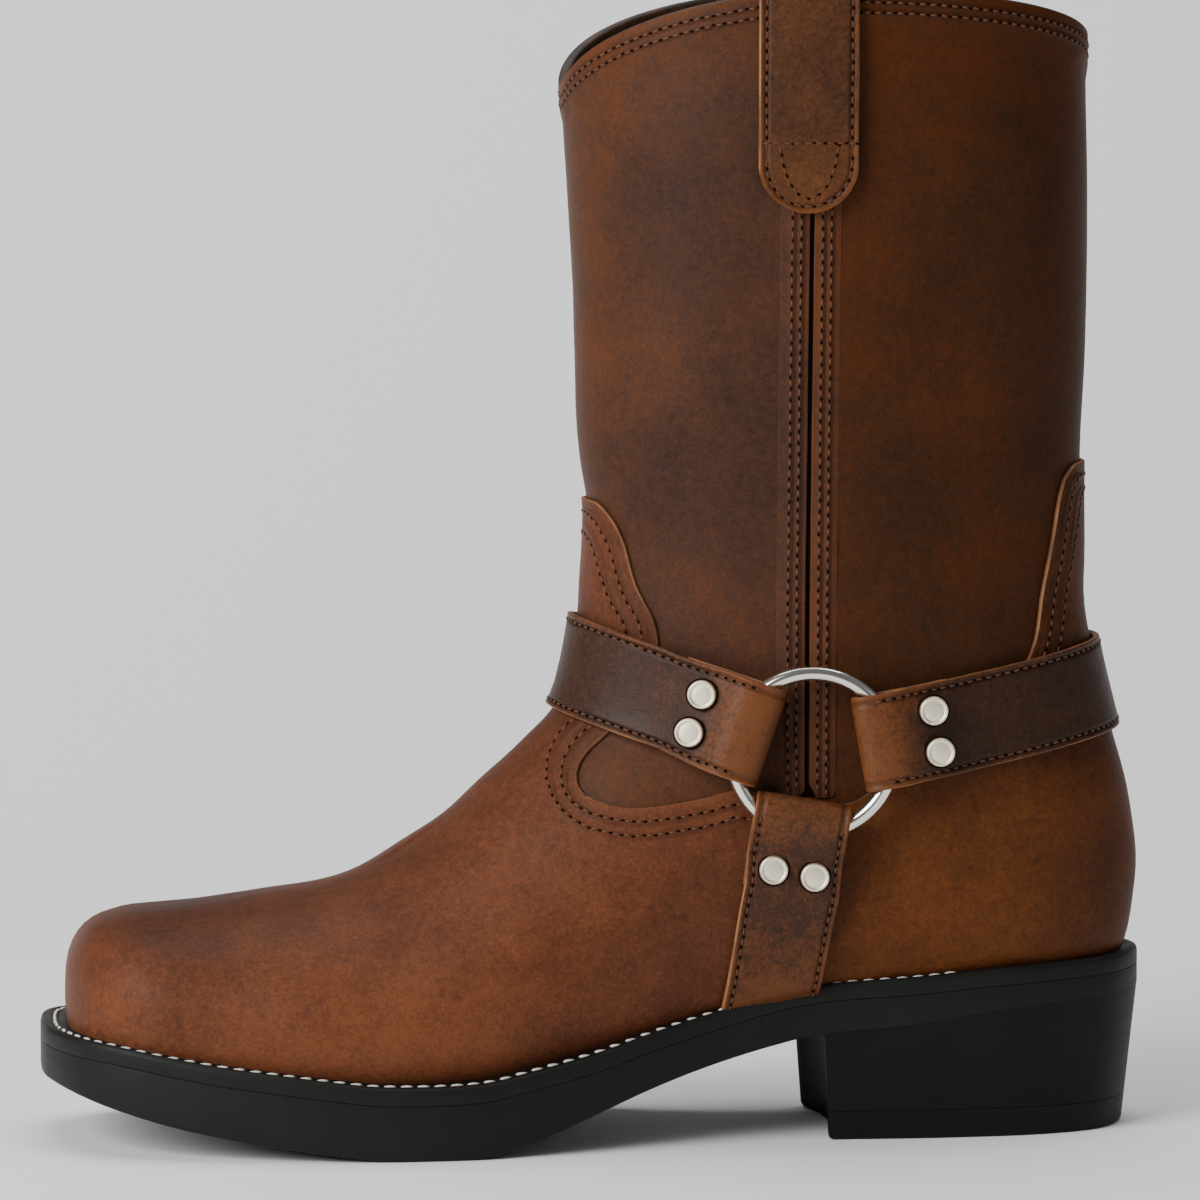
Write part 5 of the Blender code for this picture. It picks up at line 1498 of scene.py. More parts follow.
    def build_seam(self) -> None:
        """Raised strips along both side seams, sloping down outwards, with a groove between."""
        last = self.last
        points = last.points
        foot = last.seat_z + self.seam_foot * last.shaft_height + 1.5 * MM
        beyond = np.maximum(foot - points[..., 2],
                            self.collar_level() + self.band_height + 2 * MM)
        half = self.groove / 2
        runs = []
        for part, sign, width in (("front", -1.0, self.flap_front), ("back", 1.0, self.flap_back)):
            off = (points[..., 0] - last.seam_x) * sign
            for side in Side:
                other = np.where(points[..., 1] * side.value > 0, -1.0, 1.0)
                level = np.maximum.reduce([half - off, off - half - width, beyond, other])
                rise = self.flap * ease_all(width + half - off, 0.0, 2.6 * MM)
                sheet = Sheet(level, np.full(level.shape, -0.2 * MM), rise + 0.02 * MM)
                name = f"seam_flap_{part}_{side.word}"
                piece = cut_sheet(name + "_strip", last, sheet, self.flap_round)
                places = vertices_of(piece)
                set_edge(piece, (places[:, 0] - last.seam_x) * sign - half)
                store(piece, "rust", self._shaft_rust(places) + 0.04)
                dress(piece, self.finishes.flap, self.finishes.dark_edge, self.finishes.dark_edge)
                hand_over(piece, "shaft_leather", name)
                allowed = (beyond < -2 * MM) & (other < 0)
                for row in SEAM_ROWS:
                    runs += level_runs(last, off, half + row * MM, rise, allowed)
        # Dark strip in the groove: the underlay's own dark, deepened as painted shadow of the groove
        across = np.abs(points[..., 0] - last.seam_x)
        level = np.maximum(across - self.groove_floor, beyond)
        sheet = Sheet(level, np.full(level.shape, -0.2 * MM), np.full(level.shape, 0.03 * MM))
        floor = cut_sheet("seam_groove_floor", last, sheet, 0.05 * MM)
        dress(floor, *[self.finishes.hole] * 3)
        hand_over(floor, "shaft_leather")
        sewn = self.stitching.sew("seam_stitches", runs, self.finishes.thread, self.finishes.hole)
        hand_over(sewn, "shaft_leather")

    def build_insole(self) -> None:
        """Insole board with its leather sock, fitted to the inside of the wall."""
        last = self.last
        inset = self.wall + self.insole_gap
        columns = self.insole_columns
        low_rows, high_rows = [], []
        for x in np.linspace(last.at(0.040), last.at(0.970), 90):
            z = last.sole_top(x) + self.insole_lift + self.insole
            sides = []
            for side in Side:
                place = last.tree.ray_cast(Vector((x, 0, z)), Vector((0, side.value, 0)))
                sides.append(place[0].y - side.value * inset / max(abs(place[1].y), 0.5))
            across = np.linspace(sides[0], sides[1], columns)
            dish = self.insole_dish * (np.linspace(-1, 1, columns) ** 2)
            high = np.stack((np.full(columns, x), across, z - self.insole_edge + dish), axis=1)
            low_rows.append(high - (0, 0, self.insole - self.insole_edge))
            high_rows.append(high)
        loops = [np.concatenate((high, low[::-1])) for high, low in zip(high_rows, low_rows)]
        piece = loops_object("insole_board", loops, False)
        store(piece, "rust", np.zeros(len(piece.data.vertices)))
        store(piece, "edge_mm", np.full(len(piece.data.vertices), self.far_inside / MM))
        dress(piece, self.finishes.insole)
        sharpen(piece, 40)
        hand_over(piece, "insole_leather", "insole")


@dataclass
class Sole:
    """Outsole, welt and heel of black rubber, with the white lockstitch."""

    last: Last
    finishes: Finishes
    stitching: Stitching
    welt: float = 5.0 * MM
    border: float = 15.0 * MM
    edge_round: float = 1.2 * MM
    top_piece: float = 8.0 * MM
    taper: float = 4.2 * MM
    breast_lean: float = 2.5 * MM
    breast_hollow: float = 3.5 * MM
    joint: float = 0.06 * MM
    row_inset: float = 4.2 * MM
    row_end: float = 98.0 * MM
    stations: int = 150

    def __post_init__(self) -> None:
        """Work out the outline, the way inwards at each station, and the stitch row's inset."""
        last = self.last
        self.edge = last.outline(0.0, self.stations)
        inner = last.outline(3.0 * MM, self.stations)
        self.inwards = (inner - self.edge) / (3.0 * MM)
        insets = []
        for (x, y), (dx, dy) in zip(self.edge, self.inwards):
            start = Vector((x, y, last.sole_top(x) + 2.0 * MM))
            way = Vector((dx, dy, 0.0)).normalized()
            reach = last.tree.ray_cast(start, way)[3]
            clear = (reach or 2 * self.row_inset) - 1.6 * MM
            share = 0.6 + 0.42 * ease(x, 0.080, 0.105)
            insets.append(min(max(clear * share, 1.5 * MM), self.row_inset))
        insets = np.array(insets)
        for _ in range(6):
            insets = (np.roll(insets, 1) + insets + np.roll(insets, -1)) / 3
        self.insets = insets

    def ring(self, inset: float, height: Callable[[float], float]) -> np.ndarray:
        """Sole outline moved inwards, each point at its own height."""
        return np.array([(x, y, height(x)) for x, y in self.last.outline(inset, self.stations)])

    def ledge(self, share: float, drop: float) -> np.ndarray:
        """Line on the welt's top, at a share of the stitch row's distance from the edge."""
        flat = self.edge + self.inwards * (self.insets * share)[:, None]
        return np.array([(x, y, self.last.sole_top(x) - drop) for x, y in flat])

    def build(self) -> None:
        """Make every piece of the sole."""
        self.build_outsole()
        self.build_welt()
        self.build_heel()
        self.sew_welt()

    def build_outsole(self) -> None:
        """Outsole with rounded lower edge and a fine joint line under the welt."""
        last = self.last
        breast = last.at(0.695)
        loops = []
        for k in range(5):
            turn = math.pi / 2 * k / 4
            loop = []
            for (x, y), (dx, dy) in zip(self.edge, self.inwards):
                r = self.edge_round * (1 - ease(x, breast - 6 * MM, breast)) + 0.03 * MM
                inset = r * (1 - math.sin(turn))
                loop.append((x + dx * inset, y + dy * inset,
                             last.sole_bottom(x) + r * (1 - math.cos(turn))))
            loops.append(np.array(loop))
        for inset, drop in ((0.0, self.welt + 0.35 * MM), (0.03 * MM, self.welt + 0.16 * MM),
                            (0.12 * MM, self.welt + 0.08 * MM), (self.border, self.welt + 0.08 * MM),
                            (self.border, 0.0)):
            loops.append(self.ring(inset, lambda x, d=drop: last.sole_top(x) - d))
        piece = loops_object("outsole_rubber", loops, False, True)
        self._dress(piece, self.finishes.rubber)
        hand_over(piece, "rubber", "outsole")

    def _dress(self, piece: Object, side: Material) -> None:
        """Rubber all over, with the tread's ribs below and near-black rubber on the breast as painted shade.

        Args:
            piece: the part of the sole.
            side: finish of its buffed sides.
        """
        dress(piece, side, self.finishes.tread, self.finishes.shaded)
        for face in piece.data.polygons:
            if face.normal.z < -0.7:
                face.material_index = 1
            # Breast faces take the near-black finish: painted shade of the arch over them
            elif face.normal.x < -0.6 and face.center.x > 0:
                face.material_index = 2
        sharpen(piece, 38)

    def build_welt(self) -> None:
        """Welt strip with rounded edges and the groove that the stitches lie in."""
        last = self.last
        # Share of the stitch row's distance from the edge, and depth in millimetres
        groove = [(0.03, 1.1), (0.10, 0.6), (0.22, 0.22), (0.38, 0.04), (0.60, 0.0), (0.71, 0.15),
                  (0.83, 0.5), (1.0, 0.65), (1.17, 0.5), (1.29, 0.15), (1.4, 0.0)]
        loops = [
            self.ring(0.12 * MM, lambda x: last.sole_top(x) - self.welt),
            self.ring(0.03 * MM, lambda x: last.sole_top(x) - self.welt + 0.08 * MM),
            self.ring(0.0, lambda x: last.sole_top(x) - self.welt + 0.25 * MM),
            self.ring(0.0, lambda x: last.sole_top(x) - 1.8 * MM),
        ]
        loops += [self.ledge(share, drop * MM) for share, drop in groove]
        loops.append(self.ring(10 * MM, last.sole_top))
        loops.append(self.ring(self.border, last.sole_top))
        loops.append(self.ring(self.border, lambda x: last.sole_top(x) - self.welt))
        piece = loops_object("welt_rubber", loops, True)
        dress(piece, self.finishes.rubber)
        sharpen(piece, 50)
        hand_over(piece, "rubber", "welt")

    def heel_ring(self, height: float, inset: float = 0.0, seat: bool = False) -> np.ndarray:
        """Outline of the heel at a height, its sides leaning in and its breast hollowed.

        Args:
            height: height over the floor.
            inset: how far the outline moves in.
            seat: whether it follows the sole's underside.

        Returns:
            The outline's points.
        """
        last = self.last
        full = last.sole_bottom(last.at(1.0))
        depth = 0.0 if seat else 1 - height / full
        start = last.at(0.695) + self.breast_lean * depth
        points = last.outline(self.taper * depth + self.joint + inset, self.stations // 2, start)
        near = 1 - ease_all(points[:, 0], start, start + 12 * MM)
        xs = points[:, 0] + inset * near
        heights = np.array([last.sole_bottom(x) - self.joint if seat else height for x in xs])
        ring = np.stack((xs, points[:, 1], heights), axis=1)
        across = np.linspace(ring[-1], ring[0], 24)[1:-1]
        bow = self.breast_hollow * (1 - np.linspace(-1, 1, 22) ** 2)
        across[:, 0] += bow
        if seat:
            across[:, 2] = [last.sole_bottom(x) - self.joint for x in across[:, 0]]
        return np.concatenate((ring, across))

    def build_heel(self) -> None:
        """Heel block and its top piece, with a fine joint between."""
        r = 0.10 * MM
        levels = [self.top_piece + 0.04 * MM, self.top_piece + 0.04 * MM + r]
        block = [self.heel_ring(levels[0], r), self.heel_ring(levels[1])]
        block += [self.heel_ring(h) for h in np.linspace(levels[1] + 2 * MM, 29 * MM, 6)]
        block.append(self.heel_ring(0.0, seat=True))
        tread = [self.heel_ring(0.0, 1.0 * MM), self.heel_ring(0.3 * MM, 0.3 * MM),
                 self.heel_ring(1.0 * MM), self.heel_ring(self.top_piece - r),
                 self.heel_ring(self.top_piece, r)]
        for name, node, loops in (("heel_block_rubber", "heel_block", block),
                                  ("heel_tread_rubber", "heel_top_piece", tread)):
            piece = loops_object(name, loops, False)
            self._dress(piece, self.finishes.heel)
            hand_over(piece, "rubber", node)

    def sew_welt(self) -> None:
        """White lockstitch in the welt's groove, from heel to heel round the toe."""
        ring = self.ledge(1.0, 0.3 * MM)
        ring = np.roll(ring, len(ring) // 2, axis=0)
        ring = ring[ring[:, 0] < self.row_end]
        run = Run(ring, np.tile((0.0, 0.0, 1.0), (len(ring), 1)))
        sewn = self.stitching.sew("welt_lockstitch", [run], self.finishes.white,
                                  self.finishes.hole, WELT_STITCH)
        hand_over(sewn, "rubber")


class Leg(NamedTuple):
    """Point of a folded strap's middle line, seen from its edge."""

    along: float
    height: float


class Seat(NamedTuple):
    """Plane that a ring lies on."""

    side: Side
    centre: Vector
    out: Vector


class Path(NamedTuple):
    """Way of a strap over the form."""

    along: Vector
    across: Vector
    on_form: Callable[[float, float], Vector]


@dataclass
class Harness:
    """Straps round the ankle, their rings and rivets."""

    last: Last
    finishes: Finishes
    stitching: Stitching
    strap: float = 2.0 * MM
    front_width: float = 28.0 * MM
    back_width: float = 26.2 * MM
    under_width: float = 26.5 * MM
    front_tilt: float = math.radians(18.7)
    back_tilt: float = math.radians(9.9)
    under_tilt: float = math.radians(9.6)
    strap_return: float = 27.0 * MM
    ring_outer: float = 48.2 * MM
    ring_wire: float = 4.2 * MM
    rivet_diameter: float = 8.0 * MM
    rivet_from_fold: float = 21.5 * MM
    rivet_spacing: float = 11.5 * MM
    rivet_height: float = 1.5 * MM
    lift: float = 2.2 * MM
    gap: float = 0.3 * MM
    sewn_inset: float = STRAP_ROWS[0] * MM
    edge_round: float = 0.55 * MM
    wrap_steps: int = 56
    ring_steps: int = 128
    wire_steps: int = 24
    fold_legs: int = 11
    edge_faces: tuple[int, ...] = (7, 8, 9, 10, 18, 19, 20, 21)
    runs: list[Run] = field(default_factory=list)
    rivets: list[tuple[Vector, Vector]] = field(default_factory=list)

    def __post_init__(self) -> None:
        """Work out the heights of the layers over the form."""
        last = self.last
        self.ring_x = last.at(0.6823)
        self.ring_z = last.seat_z + 0.2296 * last.shaft_height
        self.radius = (self.ring_outer - self.ring_wire) / 2
        self.return_mid = self.lift + self.strap / 2
        self.wire_mid = self.lift + self.strap + self.gap + self.ring_wire / 2
        self.over_wire = self.wire_mid + self.ring_wire / 2 + self.gap + self.strap / 2
        self.over_return = self.return_mid + self.strap + self.gap
        self.seats = {side: self._seat(side) for side in Side}

    def _seat(self, side: Side) -> Seat:
        """Plane level with the form under a ring, touching it from outside."""
        span = self.radius
        spot = self.last.side_spot
        x, z = self.ring_x, self.ring_z
        centre = spot(x, z, side)
        out = (spot(x + span, z, side) - spot(x - span, z, side)).cross(
            spot(x, z + span, side) - spot(x, z - span, side)).normalized()
        if out.y * side.value < 0:
            out = -out
        proud = 0.0
        for k in range(16):
            angle = 2 * math.pi * k / 16
            for reach in (span * 0.6, span * 1.2):
                place = spot(x + reach * math.cos(angle), z + reach * math.sin(angle), side)
                proud = max(proud, (place - centre).dot(out))
        return Seat(side, centre + out * proud, out)

    def _level(self, seat: Seat, flat: Vector, surface: Vector, distance: float) -> Vector:
        """Place of a strap's point: on the ring's plane near the ring, on the form further off."""
        ring = self.radius + self.ring_wire
        spot = flat.lerp(surface, ease(distance, ring, self.radius * 1.8))
        sunk = max((surface - spot).dot(seat.out), 0.0)
        return spot + seat.out * sunk * ease(distance, ring - self.ring_wire / 2, self.radius * 1.3)

    def _fold_reach(self, width: float) -> float:
        """Distance from the ring's centre at which a fold clears the wire."""
        inner = self.radius - self.ring_wire / 2
        return math.sqrt(inner**2 - (width / 2) ** 2) - 2 * self.gap - self.strap

    def _fold_line(self, fold: float) -> list[Leg]:
        """Middle line from the return leg's end round the fold and down behind the rivets."""
        radius = (self.over_wire - self.return_mid) / 2
        centre = fold + self.strap / 2 + radius
        inner_end = fold + self.strap_return
        line = [Leg(inner_end, self.return_mid), Leg((inner_end + centre) / 2, self.return_mid)]
        for k in range(9):
            angle = -math.pi / 2 - math.pi * k / 8
            line.append(Leg(centre + radius * math.cos(angle),
                            self.return_mid + radius + radius * math.sin(angle)))
        down = fold + self.rivet_from_fold - self.rivet_diameter * 0.6
        flat = fold + self.rivet_from_fold + self.rivet_diameter * 0.6
        ramp = min(self.radius + self.ring_wire / 2, down - 2 * MM)
        return line + [Leg(ramp - 4 * MM, self.over_wire), Leg(ramp, self.over_wire - 0.4 * MM),
                       Leg(down, self.over_return + 0.3 * MM), Leg(flat, self.over_return),
                       Leg(inner_end + 1.2 * self.strap, self.over_return - 0.9 * MM),
                       Leg(inner_end + 4 * self.strap, self.return_mid)]

    def _wrap_path(self, tilt: float, forward: bool) -> tuple[Path, float, dict[Side, float]]:
        """Way of a strap round the boot, its length, and where it passes each ring's centre."""
        sign = -1.0 if forward else 1.0
        ahead = Vector((sign * math.cos(tilt), 0, math.sin(tilt)))
        across = Vector((-sign * math.sin(tilt), 0, math.cos(tilt)))
        ring = Vector((self.ring_x, 0, self.ring_z))
        start = ring - ahead * ((self.ring_x - self.last.axis_x) / ahead.x)
        step = math.radians(2.0)
        angles = [step * k for k in range(-self.wrap_steps, self.wrap_steps + 1)]

        def spot(angle: float, row: float) -> Vector:
            """Point of the form at an angle round the boot, in one row of the strap."""
            way = ahead * math.cos(angle) + Vector((0, math.sin(angle), 0))
            return self.last.hit(start + across * row, way)

        places = [spot(a, 0.0) for a in angles]
        lengths = [0.0]
        for p, q in zip(places, places[1:]):
            lengths.append(lengths[-1] + (q - p).length)
        ends = {}
        for side in Side:
            half = [i for i, a in enumerate(angles) if a * side.value > 0]
            best = min(half, key=lambda i: abs((places[i] - ring).dot(ahead)))
            ends[side] = lengths[best] + side.value * (places[best] - ring).dot(ahead)

        def on_form(length: float, row: float) -> Vector:
            """Point of the form at a length along the strap, in one row."""
            return spot(float(np.interp(length, lengths, angles)), row)

        return Path(ahead, across, on_form), lengths[-1], ends

    def _place(self, path: Path, seat_at: Callable[[float], tuple[Seat, float]],
               length: float, row: float, height: float, towards: Vector) -> Vector:
        """Place of a strap's point from its length along, its row across and its height.

        Args:
            path: way of the strap over the form.
            seat_at: gives the nearer ring's plane and the distance from its centre.
            length: length along the strap.
            row: distance from its middle.
            height: height over the form.
            towards: point that the form lies round.

        Returns:
            The point.
        """
        step = 3 * MM
        spot = path.on_form(length, row)
        run = path.on_form(length + step, row) - path.on_form(length - step, row)
        rise = path.on_form(length, row + step) - path.on_form(length, row - step)
        normal = run.cross(rise).normalized()
        if normal.dot(Vector((spot.x - towards.x, spot.y, 0))) < 0:
            normal = -normal
        seat, distance = seat_at(length)
        level = path.along - seat.out * path.along.dot(seat.out)
        upward = path.across - seat.out * path.across.dot(seat.out)
        flat = seat.centre + level * distance + upward * row + seat.out * height
        return self._level(seat, flat, spot + normal * height, distance)

    def _strap_object(self, name: str, line: list[Leg], width: float,
                      place: Callable[[float, float, float], Vector],
                      rust_at: Callable[[float], float]) -> Object:
        """Solid strap with rounded edges along a middle line.

        Args:
            name: the piece's name.
            line: corners of its middle line.
            width: its width.
            place: place of a point from its length, row and height.
            rust_at: how rust brown the strap is at a length.

        Returns:
            The strap.
        """
        legs = self._smooth_line(line)
        run = np.gradient(legs, axis=0)
        run /= np.linalg.norm(run, axis=1)[:, None]
        r = self.edge_round
        half, thick = width / 2, self.strap / 2
        rows = [half - r, half * 0.8, half * 0.45, 0.0, -half * 0.45, -half * 0.8, -half + r]
        section = [(row, thick - 0.10 * MM * (row / half) ** 4) for row in rows]
        arc = [math.radians(k) for k in (35, 70, 90)]
        section += [(-half + r - r * math.sin(a), thick - r + r * math.cos(a)) for a in arc]
        section += [(row, -t) for row, t in section[::-1]]
        section += [(half, -thick + r), (half, thick - r)]
        section += [(half - r + r * math.sin(a), thick - r + r * math.cos(a)) for a in arc[1::-1]]
        loops, edges, rusts = [], [], []
        for (along, height), (dx, dy) in zip(legs, run):
            loop = [tuple(place(along - dy * t, row, height + dx * t)) for row, t in section]
            loops.append(np.array(loop))
            edges += [(half - abs(row)) / MM for row, t in section]
            rusts += [rust_at(along) + 0.12 * ease(abs(row), half - 2.5 * MM, half)
                      for row, _ in section]
        piece = loops_object(name, loops, False)
        count = len(section)
        body = len(loops) * count
        for index, face in enumerate(piece.data.polygons):
            if index < body - count:
                face.material_index = 1 if index % count in self.edge_faces else 0
            else:
                face.material_index = 1
        store(piece, "edge_mm", np.array(edges))
        store(piece, "rust", np.array(rusts))
        dress(piece, self.finishes.strap, self.finishes.edge)
        return piece

    @staticmethod
    def _smooth_line(line: list[Leg]) -> np.ndarray:
        """Middle line with close stations, rounded where its corners are."""
        corners = np.array(line)
        dense = []
        for p, q in zip(corners, corners[1:]):
            steps = max(int(np.linalg.norm(q - p) / (1.6 * MM)), 1)
            dense += [p + (q - p) * k / steps for k in range(steps)]
        dense = np.array(dense + [corners[-1]])
        for _ in range(2):
            dense[1:-1] = (dense[:-2] + 2 * dense[1:-1] + dense[2:]) / 4
        return dense

    def _sew_edges(self, stations: np.ndarray, height: np.ndarray, width: float,
                   place: Callable[[float, float, float], Vector]) -> None:
        """Add a row of stitches inside each edge of a strap.

        Args:
            stations: lengths along the strap.
            height: height of its middle line at each.
            width: its width.
            place: place of a point from its length, row and height.
        """
        for row in (-width / 2 + self.sewn_inset, width / 2 - self.sewn_inset):
            places, outs = [], []
            for along, tall in zip(stations, height):
                spot = place(along, row, tall + self.strap / 2)
                inner = place(along, row, tall)
                places.append(tuple(spot))
                outs.append(tuple((spot - inner).normalized()))
            self.runs.append(Run(np.array(places), np.array(outs)))

    def _rivet_pair(self, along: float, outer: np.ndarray,
                    place: Callable[[float, float, float], Vector]) -> None:
        """Add two rivets side by side across a strap, each seated clear of its curved face.

        Args:
            along: length at which they sit.
            outer: lengths and heights of the outer layer.
            place: place of a point from its length, row and height.
        """
        outer = outer[np.argsort(outer[:, 0])]
        reach = self.rivet_diameter / 2

        def face(away: float, row: float, depth: float = 0.0) -> Vector:
            """Point of the strap's outer face, or so deep under it."""
            height = float(np.interp(away, outer[:, 0], outer[:, 1]))
            return place(away, row, height + self.strap / 2 - depth)

        for row in (-self.rivet_spacing / 2, self.rivet_spacing / 2):
            top = face(along, row)
            out = (top - face(along, row, 1 * MM)).normalized()
            proud = 0.0
            for k in range(8):
                angle = math.pi * k / 4
                spot = face(along + reach * math.cos(angle), row + reach * math.sin(angle))
                proud = max(proud, (spot - top).dot(out))
            self.rivets.append((top + out * proud, out))

    def build_wrap(self, name: str, tilt: float, forward: bool, width: float) -> None:
        """Strap from the lateral ring round the boot to the medial ring.

        Args:
            name: name of its solid.
            tilt: how steeply it rises from the rings.
            forward: whether it goes round the front.
            width: its width.
        """
        path, total, ends = self._wrap_path(tilt, forward)
        axis = Vector((self.last.axis_x, 0, 0))

        def seat_at(length: float) -> tuple[Seat, float]:
            """Plane of the nearer ring, and the distance from its centre."""
            side = Side.LATERAL if length < total / 2 else Side.MEDIAL
            return self.seats[side], (length - ends[side]) * -side.value

        def place(length: float, row: float, height: float) -> Vector:
            """Place of a point of the strap."""
            return self._place(path, seat_at, length, row, height, axis)

        line = self._fold_line(self._fold_reach(width))
        near = [Leg(ends[Side.LATERAL] + leg.along, leg.height) for leg in line]
        far = [Leg(ends[Side.MEDIAL] - leg.along, leg.height) for leg in line]
        piece = self._strap_object(
            f"{name}_leather", near + far[::-1], width, place,
            lambda length: 0.38 - 0.44 * ease(seat_at(length)[1], 20 * MM, 36 * MM))
        hand_over(piece, "strap_leather", name)
        legs = self._smooth_line(near[self.fold_legs:] + far[self.fold_legs:][::-1])
        self._sew_edges(legs[:, 0], legs[:, 1], width, place)
        for side in Side:
            self._rivet_pair(ends[side] - side.value * (self._fold_reach(width)
                                                        + self.rivet_from_fold), legs, place)

    def build_under(self, side: Side) -> None:
        """Strap from a ring down to the welt."""
        tilt = self.under_tilt
        down = Vector((-math.sin(tilt), 0, -math.cos(tilt)))
        across = Vector((math.cos(tilt), 0, -math.sin(tilt)))
        ring = Vector((self.ring_x, 0, self.ring_z))
        width = self.under_width
        line = self._fold_line(self._fold_reach(width))
        loose = line[-1].along
        seat = self.seats[side]

        def row_end(row: float) -> float:
            """Length at which a row of the strap meets the welt."""
            length = self.ring_z / 2
            for _ in range(8):
                spot = ring + down * length + across * row
                length += spot.z - self.last.sole_top(spot.x) - 0.1 * MM
            return length

        end = row_end(0.0)

        def on_form(length: float, row: float) -> Vector:
            """Point of the form at a length along the strap, in one row."""
            if length > loose:
                length = loose + (length - loose) * (row_end(row) - loose) / (end - loose)
            spot = ring + down * length + across * row
            return self.last.side_spot(spot.x, spot.z, side)

        path = Path(down, across, on_form)
        axis = Vector((self.ring_x, 0, 0))

        def place(length: float, row: float, height: float) -> Vector:
            """Place of a point of the strap."""
            return self._place(path, lambda _: (seat, length), length, row, height, axis)

        line += [Leg(loose + (end - loose) * k / 8, self.return_mid) for k in range(1, 9)]
        piece = self._strap_object(
            f"strap_under_{side.word}_leather", line, width, place,
            lambda length: 0.20 - 0.10 * ease(length, 14 * MM, 30 * MM)
            + 0.22 * ease(length, 45 * MM, 70 * MM))
        hand_over(piece, "strap_leather", f"strap_under_{side.word}")
        legs = self._smooth_line(line[self.fold_legs:])
        self._sew_edges(legs[:, 0], legs[:, 1], width, place)
        self._rivet_pair(self._fold_reach(width) + self.rivet_from_fold, legs, place)

    def build_ring(self, side: Side) -> None:
        """Round ring of thick wire."""
        seat = self.seats[side]
        level = (Vector((1, 0, 0)) - seat.out * seat.out.x).normalized()
        upward = seat.out.cross(level).normalized()
        centre = seat.centre + seat.out * self.wire_mid
        wire = self.ring_wire / 2
        loops = []
        for k in range(self.ring_steps):
            angle = 2 * math.pi * k / self.ring_steps
            away = level * math.cos(angle) + upward * math.sin(angle)
            loops.append(np.array([
                tuple(centre + away * (self.radius + wire * math.cos(turn))
                      + seat.out * wire * math.sin(turn))
                for turn in (2 * math.pi * m / self.wire_steps for m in range(self.wire_steps))]))
        piece = loops_object(f"ring_{side.word}_wire", loops, True)
        dress(piece, self.finishes.nickel)
        hand_over(piece, "nickel", f"ring_{side.word}")

    def build_rivets(self) -> None:
        """All rivet heads, set on the straps by a node tree."""
        mesh = bpy.data.meshes.new("rivet_places")
        mesh.from_pydata([tuple(top) for top, _ in self.rivets], [], [])
        attribute = mesh.attributes.new("out", "FLOAT_VECTOR", "POINT")
        attribute.data.foreach_set("vector", [c for _, out in self.rivets for c in out])
        places = new_object("rivet_places", mesh)
        piece = grow(places, self._rivet_tree(), "rivet_heads", {
            "Diameter": self.rivet_diameter, "Height": self.rivet_height,
            "Finish": self.finishes.rivet, "Skirt Finish": self.finishes.hole})
        face_outwards(piece)
        sharpen(piece, 60)
        names = [f"rivet_{part}_{side.word}_{i}" for part in ("front", "back", "under")
                 for side in Side for i in (1, 2)]
        hand_over(piece, "nickel", *names)

    def _rivet_tree(self) -> NodeTree:
        """Node tree that sets a cap with a rolled rim on each point, in a dark ring that paints its contact
        shadow.
        """
        tree = bpy.data.node_groups.new("set_rivets", "GeometryNodeTree")
        face = tree.interface
        face.new_socket("Places", in_out="INPUT", socket_type="NodeSocketGeometry")
        face.new_socket("Diameter", in_out="INPUT", socket_type="NodeSocketFloat")
        face.new_socket("Height", in_out="INPUT", socket_type="NodeSocketFloat")
        face.new_socket("Finish", in_out="INPUT", socket_type="NodeSocketMaterial")
        face.new_socket("Skirt Finish", in_out="INPUT", socket_type="NodeSocketMaterial")
        face.new_socket("Rivets", in_out="OUTPUT", socket_type="NodeSocketGeometry")
        given = add_node(tree, "NodeGroupInput").outputs
        out = add_node(tree, "GeometryNodeInputNamedAttribute", {"data_type": "FLOAT_VECTOR",
                                                                 "Name": "out"})
        turn = add_node(tree, "FunctionNodeAlignRotationToVector", {"axis": "Z"},
                        {"Vector": out.outputs[0]})
        profile = [(0.94, -0.35), (1.00, 0.00), (1.00, 0.45), (0.97, 0.75), (0.91, 0.95),
                   (0.85, 1.00), (0.79, 0.90), (0.76, 0.66), (0.72, 0.62), (0.62, 0.68),
                   (0.35, 0.76)]
        cap = self._turned(tree, profile, given["Diameter"], given["Height"])
        # Dark ring round each cap: painted contact shadow on the strap
        shadow_ring = self._turned(tree, [(0.60, -0.42), (1.13, -0.08), (0.99, 0.10)],
                             given["Diameter"], given["Height"])
        join = add_node(tree, "GeometryNodeJoinGeometry")
        for shape, finish in ((cap, "Finish"), (shadow_ring, "Skirt Finish")):
            tree.links.new(copies_on(tree, given["Places"], shape, turn.outputs[0],
                                     given[finish]), join.inputs[0])
        smooth = add_node(tree, "GeometryNodeSetShadeSmooth", links={0: join.outputs[0]})
        add_node(tree, "NodeGroupOutput", links={0: smooth.outputs[0]})
        return tree

    @staticmethod
    def _turned(tree: NodeTree, profile: list[tuple[float, float]],
                diameter: NodeSocket, height: NodeSocket) -> NodeSocket:
        """Closed turned shape.

        Args:
            tree: the node tree.
            profile: radius as a share of half the diameter, and height as a share of the height.
            diameter: socket that gives the diameter.
            height: socket that gives the height.

        Returns:
            The shape's socket.
        """
        radii = [calculate(tree, "MULTIPLY", diameter, share / 2) for share, _ in profile]
        heights = [calculate(tree, "MULTIPLY", height, tall) for _, tall in profile]
        join = add_node(tree, "GeometryNodeJoinGeometry")

        def add_at(shape: NodeSocket, level: NodeSocket) -> None:
            """Add a shape at a height."""
            shift = add_node(tree, "ShaderNodeCombineXYZ", links={"Z": level})
            moved = add_node(tree, "GeometryNodeTransform", links={
                "Geometry": shape, "Translation": shift.outputs[0]})
            tree.links.new(moved.outputs[0], join.inputs[0])

